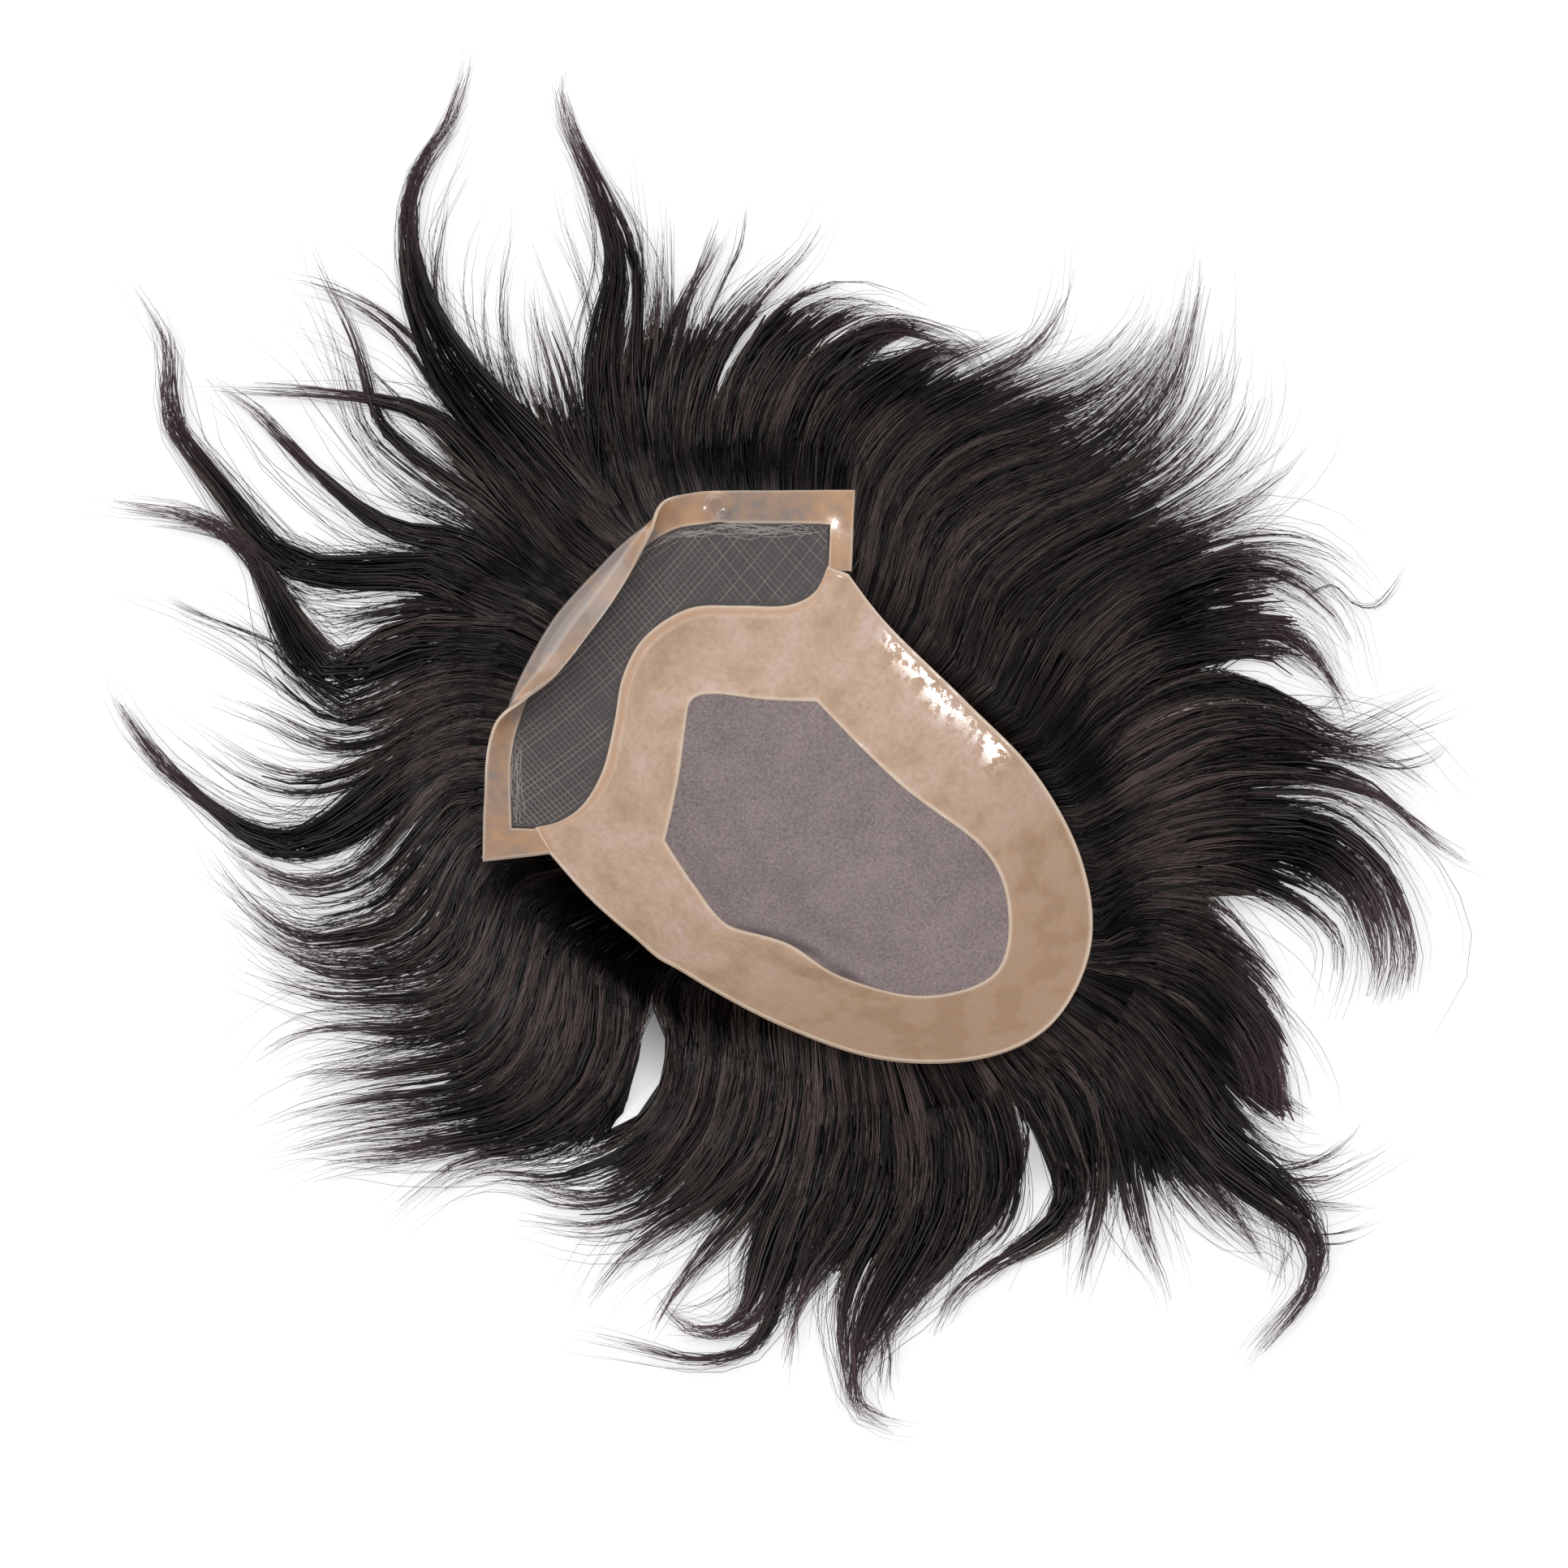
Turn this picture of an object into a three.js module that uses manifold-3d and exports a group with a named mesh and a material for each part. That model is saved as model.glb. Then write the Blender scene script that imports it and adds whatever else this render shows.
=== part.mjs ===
// A lace front hairpiece lying inside up: its base is an open bowl, and its hair is fanned out flat round it.
// Millimetres, +Z up. The origin is on the surface under the middle of the base, and the hairline faces -Y.
// Bearings are degrees about the origin: 0 is the hairline (-Y), 90 is +X, 180 is the nape (+Y).
// Left and right are the wearer's, so the right side of the piece is at +X.
import * as THREE from 'three';
import { mergeVertices } from 'three/addons/utils/BufferGeometryUtils.js';
import Module from 'manifold-3d';

const wasm = await Module();
wasm.setup();

// Walls and gaps. The hair under the base keeps clear of the sloping wall, so its depth is from the inside.
const BASE_WALL = 1;
const JOINT_GAP = 0.3;
const HAIR_BELOW_INSIDE = 3.1;

// The bowl of the base, a row for each section from hairline to nape. The keel is the bowl's lowest line,
// and at half a width from the middle line its wall has risen by SIDE_RISE.
const SIDE_RISE = 26;
const SIDE_POWER = 1.7;
const BOWL = [
  { y: -104, mid: 0, half: 88, keel: 40 },
  { y: -80, mid: 0, half: 86, keel: 29 },
  { y: -58, mid: 0, half: 78, keel: 20.5 },
  { y: -27, mid: 3, half: 66, keel: 14 },
  { y: 5, mid: 5, half: 64, keel: 12 },
  { y: 40, mid: 2, half: 62, keel: 14.5 },
  { y: 75, mid: 1, half: 60, keel: 25 },
  { y: 104, mid: 1, half: 58, keel: 39 },
];

// Creases in the limp base: a groove through a point, along a heading in degrees from +X towards +Y
const CREASES = [
  { x: 57, y: 2, heading: -12, depth: 3, length: 20, width: 5 },
  { x: 34, y: 26, heading: 112, depth: 2, length: 24, width: 5 },
];

// Plan outlines of the base, each a smooth line through a few points
const SKIN_EDGE = [[67, -45], [69, -20], [65, 12], [57, 45], [45, 73], [24, 94], [1, 101],
  [-24, 93], [-43, 72], [-55, 42], [-58, 10], [-60, -24], [-64, -45]];
const BRIDGE_EDGE = [[-62, -52], [-54, -50], [-46, -54], [-36, -65], [-24, -75.5], [-8, -79], [6, -75],
  [19, -66], [33, -57], [46, -52], [56, -51.5], [64, -54]];
const WINDOW_FRONT = [[-31, -27], [-21, -40], [-12, -52], [-5, -56], [3, -51], [16, -41], [35, -28]];
const WINDOW_BACK = [[35, -28], [39, -12], [41, 4], [32, 22], [29, 42], [18, 64], [-2, 75],
  [-20, 64], [-30, 44], [-29, 10], [-31, -27]];
const LACE_EDGE = [[-68, -58], [-58, -70], [-46, -84.5], [-32, -94], [-13, -97], [10, -94.5], [32, -87.5],
  [46, -79.5], [57, -70], [70, -57]];

// The monofilament's wall closes on a middle point, past a ring this share of the way in from its edge
const MONO_MIDDLE = [2, 8];
const MONO_RING = 0.72;

// The hem strip along the lace edge: where along it, how wide it is, and how far it has turned up and in.
// The turn starts a little ahead of each step and is done at HEM_TURN_END of the width.
const HEM = [
  { along: 0.0, width: 12, turn: 0 },
  { along: 0.16, width: 13, turn: 0 },
  { along: 0.26, width: 12, turn: 20 },
  { along: 0.35, width: 15, turn: 135 },
  { along: 0.5, width: 20, turn: 172 },
  { along: 0.62, width: 16, turn: 160 },
  { along: 0.74, width: 10, turn: 90 },
  { along: 0.86, width: 10, turn: 25 },
  { along: 1.0, width: 12, turn: 0 },
];
const HEM_TURN_LEAD = 0.4;
const HEM_TURN_END = 0.75;

// The flat ends of the hem, each two straight sections: at the lace's corner and beside the skin's notch
const HEM_ENDS = {
  left: {
    corner: { inner: [-68.5, -58], outer: [-83, -61] },
    notch: { inner: [-62.6, -52.2], outer: [-64.4, -45.6] },
  },
  right: {
    corner: { inner: [70.5, -57], outer: [85, -54] },
    notch: { inner: [64.6, -54.2], outer: [67.4, -45.6] },
  },
};

// The mass of hair by bearing: the ring under the rim where it crests, and how far out it lies dense
const CREST_BELOW_RIM = 3.2;
const MASS_EDGE = 4;
const MASS_FALL_POWER = 1.4;
const MASS = [
  { bearing: 0, crest: 92, dense: 150 },
  { bearing: 30, crest: 87, dense: 142 },
  { bearing: 60, crest: 74, dense: 138 },
  { bearing: 90, crest: 63, dense: 136 },
  { bearing: 120, crest: 64, dense: 126 },
  { bearing: 150, crest: 80, dense: 132 },
  { bearing: 180, crest: 96, dense: 158 },
  { bearing: 210, crest: 78, dense: 148 },
  { bearing: 240, crest: 60, dense: 158 },
  { bearing: 270, crest: 54, dense: 174 },
  { bearing: 300, crest: 66, dense: 170 },
  { bearing: 330, crest: 87, dense: 162 },
];

// The rings that divide the mass: shares of the crest's distance, and shares of the way on to the dense edge
const CROWN_RINGS = [0.35, 0.7, 0.9];
const FAN_RINGS = [0, 0.16, 0.36, 0.6, 0.82, 1];

// Locks of hair: bearing at the root, bearing and distance at the bend and at the tip, and the widest width.
// The sway is the share of the turn from bend to tip that is done halfway, where it isn't a half.
const LOCKS = [
  { root: 344, bend: 332, out: 209, tip: 330, reach: 298, width: 17 },
  { root: 350, bend: 347, out: 232, tip: 335, reach: 316, sway: 0.4, width: 18 },
  { root: 351, bend: 349, out: 212, tip: 341, reach: 276, width: 8 },
  { root: 357, bend: 356, out: 223, tip: 351, reach: 278, width: 12 },
  { root: 352, bend: 354, out: 192, tip: 4, reach: 259, width: 7 },
  { root: 4, bend: 17, out: 192, tip: 2, reach: 300, width: 19 },
  { root: 3, bend: 8, out: 188, tip: 4, reach: 259, width: 12 },
  { root: 15, bend: 26, out: 176, tip: 16, reach: 258, sway: 1.05, width: 18 },
  { root: 22, bend: 23, out: 190, tip: 22, reach: 234, width: 8 },
  { root: 30, bend: 45, out: 157, tip: 31, reach: 226, sway: 0.4, width: 22 },
  { root: 40, bend: 40, out: 154, tip: 32, reach: 194, width: 10 },
  { root: 60, bend: 58, out: 150, tip: 49, reach: 188, width: 14 },
  { root: 66, bend: 65, out: 150, tip: 54, reach: 179, width: 16 },
  { root: 71, bend: 74, out: 144, tip: 66, reach: 183, width: 20 },
  { root: 78, bend: 81, out: 144, tip: 75, reach: 191, width: 20 },
  { root: 85, bend: 89, out: 146, tip: 79, reach: 191, width: 18 },
  { root: 91, bend: 94, out: 140, tip: 88, reach: 176, width: 16 },
  { root: 101, bend: 106, out: 118, tip: 98, reach: 152, width: 18 },
  { root: 111, bend: 115, out: 126, tip: 100, reach: 150, width: 18 },
  { root: 121, bend: 124, out: 130, tip: 111, reach: 168, width: 18 },
  { root: 131, bend: 132, out: 134, tip: 113, reach: 174, sway: 0.3, width: 14 },
  { root: 136, bend: 138, out: 132, tip: 131, reach: 168, width: 14 },
  { root: 147, bend: 150, out: 126, tip: 141, reach: 186, sway: 1.05, width: 22 },
  { root: 164, bend: 167, out: 138, tip: 147, reach: 165, width: 20 },
  { root: 173, bend: 170, out: 146, tip: 163, reach: 170, width: 10 },
  { root: 178, bend: 183, out: 184, tip: 174, reach: 212, sway: 0.05, width: 18 },
  { root: 180, bend: 182, out: 186, tip: 184, reach: 223, width: 10 },
  { root: 182, bend: 185, out: 186, tip: 192, reach: 212, width: 14 },
  { root: 184, bend: 188, out: 176, tip: 197, reach: 194, width: 14 },
  { root: 188, bend: 198, out: 152, tip: 191, reach: 172, sway: 0.3, width: 22 },
  { root: 198, bend: 209, out: 138, tip: 201, reach: 162, width: 20 },
  { root: 208, bend: 220, out: 158, tip: 207, reach: 182, sway: 0.25, width: 22 },
  { root: 220, bend: 227, out: 164, tip: 222, reach: 205, width: 20 },
  { root: 231, bend: 234, out: 166, tip: 234, reach: 207, width: 18 },
  { root: 238, bend: 242, out: 158, tip: 236, reach: 182, width: 20 },
  { root: 255, bend: 258, out: 164, tip: 251, reach: 219, width: 18 },
  { root: 262, bend: 262, out: 168, tip: 256, reach: 215, width: 18 },
  { root: 286, bend: 272, out: 168, tip: 273, reach: 228, width: 22 },
  { root: 293, bend: 280, out: 178, tip: 283, reach: 256, width: 22 },
  { root: 299, bend: 290, out: 186, tip: 291, reach: 229, width: 18 },
  { root: 306, bend: 303, out: 172, tip: 296, reach: 194, width: 18 },
  { root: 320, bend: 318, out: 176, tip: 302, reach: 198, width: 18 },
  { root: 333, bend: 326, out: 180, tip: 315, reach: 226, width: 18 },
  { root: 338, bend: 330, out: 180, tip: 321, reach: 240, width: 12 },
  { root: 342, bend: 343, out: 172, tip: 341, reach: 224, width: 9 },
];

// A lock leaves the mass a little outside the crest and has done ROOT_SWAY of its turn halfway to the bend.
// Its width follows a half sine from LOCK_START on, and never falls under LOCK_TIP of the widest.
const LOCK_INSET = 14;
const ROOT_SWAY = 0.55;
const LOCK_START = 0.3;
const LOCK_FULLNESS = 0.8;
const LOCK_TIP = 0.1;

// A lock's section is a flat oval. It is sunk in the mass by a share of its depth, or lies on the surface.
const LOCK_FLATNESS = 0.34;
const LOCK_LEAST_DEPTH = 0.6;
const LOCK_SUNK = 0.1;
const LOCK_LIFT = 0.2;

// The four zones of hair meet along partings that follow the lie of the locks beside them
const PARTINGS = {
  frontRight: { root: 53, bend: 55, out: 150, tip: 44, reach: 200 },
  rightBack: { root: 141, bend: 143, out: 130, tip: 133, reach: 180 },
  backLeft: { root: 203, bend: 214, out: 146, tip: 204, reach: 190 },
  leftFront: { root: 309, bend: 311, out: 165, tip: 299, reach: 205 },
};
const ZONES = [
  { name: 'front_hair', from: 'leftFront', to: 'frontRight' },
  { name: 'right_hair', from: 'frontRight', to: 'rightBack' },
  { name: 'back_hair', from: 'rightBack', to: 'backLeft' },
  { name: 'left_hair', from: 'backLeft', to: 'leftFront' },
];

// A zone's block starts inside the crest, reaches past every tip and stands through the surface
const PARTING_INSET = -40;
const ZONE_REACH = 360;
const ZONE_CORNER_REACH = 504;
const ZONE_CORNERS = [0.25, 0.5, 0.75];
const ZONE_HEIGHT = 90;
const ZONE_BELOW = 1;

// How finely the curved pieces are divided
const BRIDGE_STEPS = 22;
const RIM_STEPS = 40;
const BAND_ROWS = 3;
const MONO_ROWS = 2;
const LACE_ROWS = 4;
const HEM_STEPS = 30;
const HEM_ROWS = 5;
const MASS_STEPS = 60;
const LOCK_STEPS = 8;
const LOCK_SIDES = 6;
const PARTING_STEPS = 6;

const skin = new THREE.MeshStandardMaterial({ color: 0xc6a888, roughness: 0.35, metalness: 0 });
const mono = new THREE.MeshStandardMaterial({ color: 0x867a7b, roughness: 0.8, metalness: 0 });
const lace = new THREE.MeshStandardMaterial({ color: 0x4c4a4a, roughness: 0.85, metalness: 0 });
const hem = new THREE.MeshStandardMaterial({ color: 0xbf9f82, roughness: 0.25, metalness: 0 });
const hair = new THREE.MeshStandardMaterial({ color: 0x1a1513, roughness: 0.45, metalness: 0 });

// A value in a table's column, on a smooth line through its rows
function columnAt(rows, key, at, column) {
  const places = rows.map((row) => row[key]);
  const values = rows.map((row) => row[column]);
  return new THREE.CubicInterpolant(places, values, 1, new Float32Array(1)).evaluate(at)[0];
}

// The same for a table of bearings, which goes round
function columnRound(rows, bearing, column) {
  const turned = (turn) => rows.map((row) => ({ ...row, bearing: row.bearing + turn }));
  return columnAt([-360, 0, 360].flatMap(turned), 'bearing', bearing, column);
}

// The turn from one bearing to another by the short way round
function turnBetween(from, to) {
  return THREE.MathUtils.euclideanModulo(to - from + 180, 360) - 180;
}

function planPoint(bearing, distance) {
  const angle = THREE.MathUtils.degToRad(bearing);
  return new THREE.Vector2(distance * Math.sin(angle), -distance * Math.cos(angle));
}

function spacedLine(points, steps) {
  return new THREE.SplineCurve(points.map(([x, y]) => new THREE.Vector2(x, y))).getSpacedPoints(steps);
}

// A line of plan points moved to its right by a distance, or to its left by a negative one
function movedLine(points, distance, closes) {
  const last = points.length - 1;
  return points.map((point, i) => {
    const before = points[i > 0 ? i - 1 : closes * last];
    const after = points[i < last ? i + 1 : (1 - closes) * last];
    const along = after.clone().sub(before).normalize();
    return new THREE.Vector2(point.x + along.y * distance, point.y - along.x * distance);
  });
}

function creaseDepth(x, y) {
  return CREASES.reduce((depth, crease) => {
    const heading = THREE.MathUtils.degToRad(crease.heading);
    const along = (x - crease.x) * Math.cos(heading) + (y - crease.y) * Math.sin(heading);
    const across = (y - crease.y) * Math.cos(heading) - (x - crease.x) * Math.sin(heading);
    return depth + crease.depth * Math.exp(-((along / crease.length) ** 2) - (across / crease.width) ** 2);
  }, 0);
}

// Height of the inside of the base above the surface
function bowlHeight(x, y) {
  const inY = THREE.MathUtils.clamp(y, BOWL[0].y, BOWL.at(-1).y);
  const [mid, half, keel] = ['mid', 'half', 'keel'].map((column) => columnAt(BOWL, 'y', inY, column));
  return keel + SIDE_RISE * (Math.abs(x - mid) / half) ** SIDE_POWER - creaseDepth(x, y);
}

function onBowl(point) {
  return new THREE.Vector3(point.x, point.y, bowlHeight(point.x, point.y));
}

// A closed mesh from numbered corners and the triangles between them
function meshGeometry(corners, triangles) {
  const places = corners.flatMap((corner) => corner.toArray());
  const geometry = new THREE.BufferGeometry();
  geometry.setAttribute('position', new THREE.Float32BufferAttribute(places, 3));
  geometry.setIndex(triangles.flat());
  return geometry;
}

// Surface normal of a grid of points, from each point's neighbours
function gridNormal(grid, row, column, loops) {
  const columns = grid[0].length;
  const wrap = (c) => (loops ? (c + columns) % columns : THREE.MathUtils.clamp(c, 0, columns - 1));
  const clampRow = (r) => THREE.MathUtils.clamp(r, 0, grid.length - 1);
  const along = grid[row][wrap(column + 1)].clone().sub(grid[row][wrap(column - 1)]);
  const across = grid[clampRow(row + 1)][column].clone().sub(grid[clampRow(row - 1)][column]);
  return along.cross(across).normalize();
}

// A thin wall under a grid of points. Its columns may close into a ring, and its last row on a middle point.
function wallGeometry(grid, { loops = false, middle = null } = {}) {
  const rows = grid.length;
  const columns = grid[0].length;
  const top = grid.flat();
  const below = (point, r, c) => point.clone().addScaledVector(gridNormal(grid, r, c, loops), -BASE_WALL);
  const under = grid.flatMap((line, r) => line.map((point, c) => below(point, r, c)));
  const corners = [...top, ...under];
  const at = (r, c, side) => side * rows * columns + r * columns + (c % columns);
  const triangles = [];
  const quad = (a, b, c, d) => triangles.push([a, b, c], [a, c, d]);
  const spans = loops ? columns : columns - 1;
  const lastRow = rows - 1;
  const lastColumn = columns - 1;
  for (let c = 0; c < spans; c += 1) {
    for (let r = 0; r < lastRow; r += 1) {
      quad(at(r, c, 0), at(r, c + 1, 0), at(r + 1, c + 1, 0), at(r + 1, c, 0));
      quad(at(r, c, 1), at(r + 1, c, 1), at(r + 1, c + 1, 1), at(r, c + 1, 1));
    }
    quad(at(0, c, 0), at(0, c, 1), at(0, c + 1, 1), at(0, c + 1, 0));
    if (!middle) quad(at(lastRow, c, 0), at(lastRow, c + 1, 0), at(lastRow, c + 1, 1), at(lastRow, c, 1));
  }
  if (middle) {
    corners.push(middle, middle.clone().setZ(middle.z - BASE_WALL));
    for (let c = 0; c < columns; c += 1) {
      triangles.push([at(lastRow, c, 0), at(lastRow, c + 1, 0), corners.length - 2]);
      triangles.push([at(lastRow, c + 1, 1), at(lastRow, c, 1), corners.length - 1]);
    }
  }
  if (!loops) {
    for (let r = 0; r < lastRow; r += 1) {
      quad(at(r, 0, 0), at(r + 1, 0, 0), at(r + 1, 0, 1), at(r, 0, 1));
      quad(at(r, lastColumn, 0), at(r, lastColumn, 1), at(r + 1, lastColumn, 1), at(r + 1, lastColumn, 0));
    }
  }
  return meshGeometry(corners, triangles);
}

// Rows of points on the bowl between two lines with as many points each
function rowsBetween(first, last, steps) {
  const rowAt = (share) => first.map((point, c) => onBowl(point.clone().lerp(last[c], share)));
  return Array.from({ length: steps + 1 }, (_, r) => rowAt(r / steps));
}

// The window's edge and the skin's edge run round the same way, and both start at the left
function windowLoop() {
  const front = spacedLine(WINDOW_FRONT, BRIDGE_STEPS).slice(0, -1);
  const back = spacedLine(WINDOW_BACK, RIM_STEPS).slice(0, -1);
  return [...front, ...back];
}

function bridgeLine() {
  return spacedLine(BRIDGE_EDGE, BRIDGE_STEPS - 1);
}

function skinBand() {
  const edge = [...bridgeLine(), ...spacedLine(SKIN_EDGE, RIM_STEPS - 1)];
  return wallGeometry(rowsBetween(edge, windowLoop(), BAND_ROWS), { loops: true });
}

function crownMono() {
  const edge = movedLine(windowLoop(), -JOINT_GAP, true);
  const middle = new THREE.Vector2(...MONO_MIDDLE);
  const ring = edge.map((point) => point.clone().lerp(middle, MONO_RING));
  return wallGeometry(rowsBetween(edge, ring, MONO_ROWS), { loops: true, middle: onBowl(middle) });
}

function frontLace() {
  const rear = movedLine(bridgeLine(), JOINT_GAP, false);
  const front = spacedLine(LACE_EDGE, BRIDGE_STEPS - 1);
  return wallGeometry(rowsBetween(front, rear, LACE_ROWS));
}

// One section of the hem: it leaves the lace edge along the bowl, then curls up and in over the lace
function hemSection(root, outward, width, turn) {
  const slope = onBowl(root.clone().add(outward)).sub(onBowl(root)).normalize();
  const along = new THREE.Vector3(-outward.y, outward.x, 0);
  const up = along.clone().cross(slope).multiplyScalar(-1);
  const point = onBowl(root.clone().addScaledVector(outward, JOINT_GAP));
  const section = [point.clone()];
  for (let step = 0; step < HEM_ROWS; step += 1) {
    const done = THREE.MathUtils.smoothstep((step + HEM_TURN_LEAD) / HEM_ROWS, 0, HEM_TURN_END);
    const angle = THREE.MathUtils.degToRad(turn) * done;
    point.addScaledVector(slope, (Math.cos(angle) * width) / HEM_ROWS);
    point.addScaledVector(up, (Math.sin(angle) * width) / HEM_ROWS);
    section.push(point.clone());
  }
  return section;
}

function flatSection({ inner, outer }) {
  const from = new THREE.Vector2(...inner);
  const to = new THREE.Vector2(...outer);
  const at = (step) => onBowl(from.clone().lerp(to, step / HEM_ROWS));
  return Array.from({ length: HEM_ROWS + 1 }, (_, step) => at(step));
}

function frontHem() {
  const line = spacedLine(LACE_EDGE, HEM_STEPS);
  const { left, right } = HEM_ENDS;
  const sections = [flatSection(left.notch), flatSection(left.corner)];
  for (let i = 1; i < HEM_STEPS; i += 1) {
    const along = line[i + 1].clone().sub(line[i - 1]).normalize();
    const outward = new THREE.Vector2(along.y, -along.x);
    const [width, turn] = ['width', 'turn'].map((column) => columnAt(HEM, 'along', i / HEM_STEPS, column));
    sections.push(hemSection(line[i], outward, width, turn));
  }
  sections.push(flatSection(right.corner), flatSection(right.notch));
  const rows = sections[0].map((_, r) => sections.map((section) => section[r]));
  return wallGeometry(rows.reverse());
}

// The top of the mass of hair: under the base it follows the bowl, and outside it falls from the crest
function massHeight(point) {
  const bearing = THREE.MathUtils.radToDeg(Math.atan2(point.x, -point.y));
  const crest = columnRound(MASS, bearing, 'crest');
  const dense = columnRound(MASS, bearing, 'dense');
  const rim = onBowl(planPoint(bearing, crest)).z - CREST_BELOW_RIM;
  const fall = THREE.MathUtils.clamp((point.length() - crest) / (dense - crest), 0, 1);
  const outside = MASS_EDGE + (rim - MASS_EDGE) * (1 - fall) ** MASS_FALL_POWER;
  return Math.min(outside, bowlHeight(point.x, point.y) - HAIR_BELOW_INSIDE);
}

// A ring or disc of the hair mass from rows of plan loops, standing on the surface
function massGeometry(loops, middle) {
  const columns = loops[0].length;
  const topOf = (p) => new THREE.Vector3(p.x, p.y, massHeight(p));
  const footOf = (p) => new THREE.Vector3(p.x, p.y, 0);
  const corners = loops.flatMap((loop) => loop.map(topOf));
  const addFoot = (loop) => corners.push(...loop.map(footOf)) - columns;
  const triangles = [];
  const band = (from, to) => {
    for (let c = 0; c < columns; c += 1) {
      const next = (c + 1) % columns;
      triangles.push([from + c, from + next, to + next], [from + c, to + next, to + c]);
    }
  };
  for (let r = 0; r < loops.length - 1; r += 1) band((r + 1) * columns, r * columns);
  const outerFoot = addFoot(loops.at(-1));
  band(outerFoot, (loops.length - 1) * columns);
  if (middle) {
    corners.push(topOf(middle), footOf(middle));
    for (let c = 0; c < columns; c += 1) {
      const next = (c + 1) % columns;
      triangles.push([c, next, corners.length - 2], [outerFoot + next, outerFoot + c, corners.length - 1]);
    }
  } else {
    const innerFoot = addFoot(loops[0]);
    band(0, innerFoot);
    band(innerFoot, outerFoot);
  }
  return meshGeometry(corners, triangles);
}

function massLoop(distanceAt) {
  return Array.from({ length: MASS_STEPS }, (_, c) => {
    const bearing = (c * 360) / MASS_STEPS;
    const [crest, dense] = ['crest', 'dense'].map((column) => columnRound(MASS, bearing, column));
    return planPoint(bearing, distanceAt(crest, dense));
  });
}

function crownHair() {
  const loops = CROWN_RINGS.map((share) => massLoop((crest) => crest * share));
  loops.push(massLoop((crest) => crest - JOINT_GAP));
  return massGeometry(loops, new THREE.Vector2(0, 0));
}

function hairRing() {
  return massGeometry(FAN_RINGS.map((share) => massLoop((crest, dense) => crest + (dense - crest) * share)));
}

// The way a lock or parting lies in plan: out from the crest, round its bend and on to its tip
function lieOf({ root, bend, out, tip, reach, sway = 0.5 }, inset) {
  const start = columnRound(MASS, root, 'crest') + inset;
  return new THREE.SplineCurve([
    planPoint(root, start),
    planPoint(root + turnBetween(root, bend) * ROOT_SWAY, (start + out) / 2),
    planPoint(bend, out),
    planPoint(bend + turnBetween(bend, tip) * sway, (out + reach) / 2),
    planPoint(tip, reach),
  ]);
}

// One flat oval section of a lock, a share of the way from its root to its tip
function lockSection(lock, lie, share) {
  const point = lie.getPointAt(share);
  const ahead = lie.getTangentAt(share);
  const swell = Math.sin(Math.PI * (LOCK_START + (1 - LOCK_START) * share)) ** LOCK_FULLNESS;
  const halfWidth = (lock.width / 2) * Math.max(LOCK_TIP, swell);
  const halfDepth = halfWidth * LOCK_FLATNESS + LOCK_LEAST_DEPTH;
  const height = Math.max(halfDepth + LOCK_LIFT, massHeight(point) - halfDepth * LOCK_SUNK);
  return Array.from({ length: LOCK_SIDES }, (_, side) => {
    const angle = ((side + 0.5) * 2 * Math.PI) / LOCK_SIDES;
    const across = halfWidth * Math.cos(angle);
    const rise = halfDepth * Math.sin(angle);
    return new THREE.Vector3(point.x - ahead.y * across, point.y + ahead.x * across, height + rise);
  });
}

function lockGeometry(lock) {
  const lie = lieOf(lock, LOCK_INSET);
  const sectionAt = (step) => lockSection(lock, lie, step / LOCK_STEPS);
  const corners = Array.from({ length: LOCK_STEPS + 1 }, (_, step) => sectionAt(step)).flat();
  const triangles = [];
  const last = LOCK_STEPS * LOCK_SIDES;
  for (let side = 0; side < LOCK_SIDES; side += 1) {
    const next = (side + 1) % LOCK_SIDES;
    for (let here = 0; here < last; here += LOCK_SIDES) {
      const there = here + LOCK_SIDES;
      triangles.push([here + side, here + next, there + next], [here + side, there + next, there + side]);
    }
    if (side > 1) triangles.push([0, side, side - 1], [last, last + side - 1, last + side]);
  }
  return meshGeometry(corners, triangles);
}

function solidOf(geometry) {
  const plain = geometry.clone();
  plain.deleteAttribute('normal');
  plain.deleteAttribute('uv');
  const merged = mergeVertices(plain);
  return new wasm.Manifold(new wasm.Mesh({
    numProp: 3,
    vertProperties: new Float32Array(merged.attributes.position.array),
    triVerts: new Uint32Array(merged.index.array),
  }));
}

function geometryOf(solid) {
  const { vertProperties, triVerts } = solid.getMesh();
  const geometry = new THREE.BufferGeometry();
  geometry.setAttribute('position', new THREE.BufferAttribute(new Float32Array(vertProperties), 3));
  geometry.setIndex(new THREE.BufferAttribute(new Uint32Array(triVerts), 1));
  return geometry;
}

// The block of space that a zone's hair keeps to, between two partings
function zoneBlock({ from, to }) {
  const [first, second] = [PARTINGS[from], PARTINGS[to]];
  const partingLine = (parting) => lieOf(parting, PARTING_INSET).getPoints(PARTING_STEPS);
  const turn = THREE.MathUtils.euclideanModulo(second.tip - first.tip, 360);
  const outline = [
    ...partingLine(first),
    planPoint(first.tip, ZONE_REACH),
    ...ZONE_CORNERS.map((share) => planPoint(first.tip + turn * share, ZONE_CORNER_REACH)),
    planPoint(second.tip, ZONE_REACH),
    ...partingLine(second).reverse(),
  ];
  const shape = new THREE.Shape(movedLine(outline, -JOINT_GAP / 2, true));
  const block = new THREE.ExtrudeGeometry(shape, { depth: ZONE_HEIGHT, bevelEnabled: false });
  return solidOf(block.translate(0, 0, -ZONE_BELOW));
}

function fannedHair() {
  return LOCKS.reduce((mass, lock) => mass.add(solidOf(lockGeometry(lock))), solidOf(hairRing()));
}

function largestBody(solid) {
  return solid.decompose().reduce((a, b) => (a.volume() > b.volume() ? a : b));
}

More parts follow.
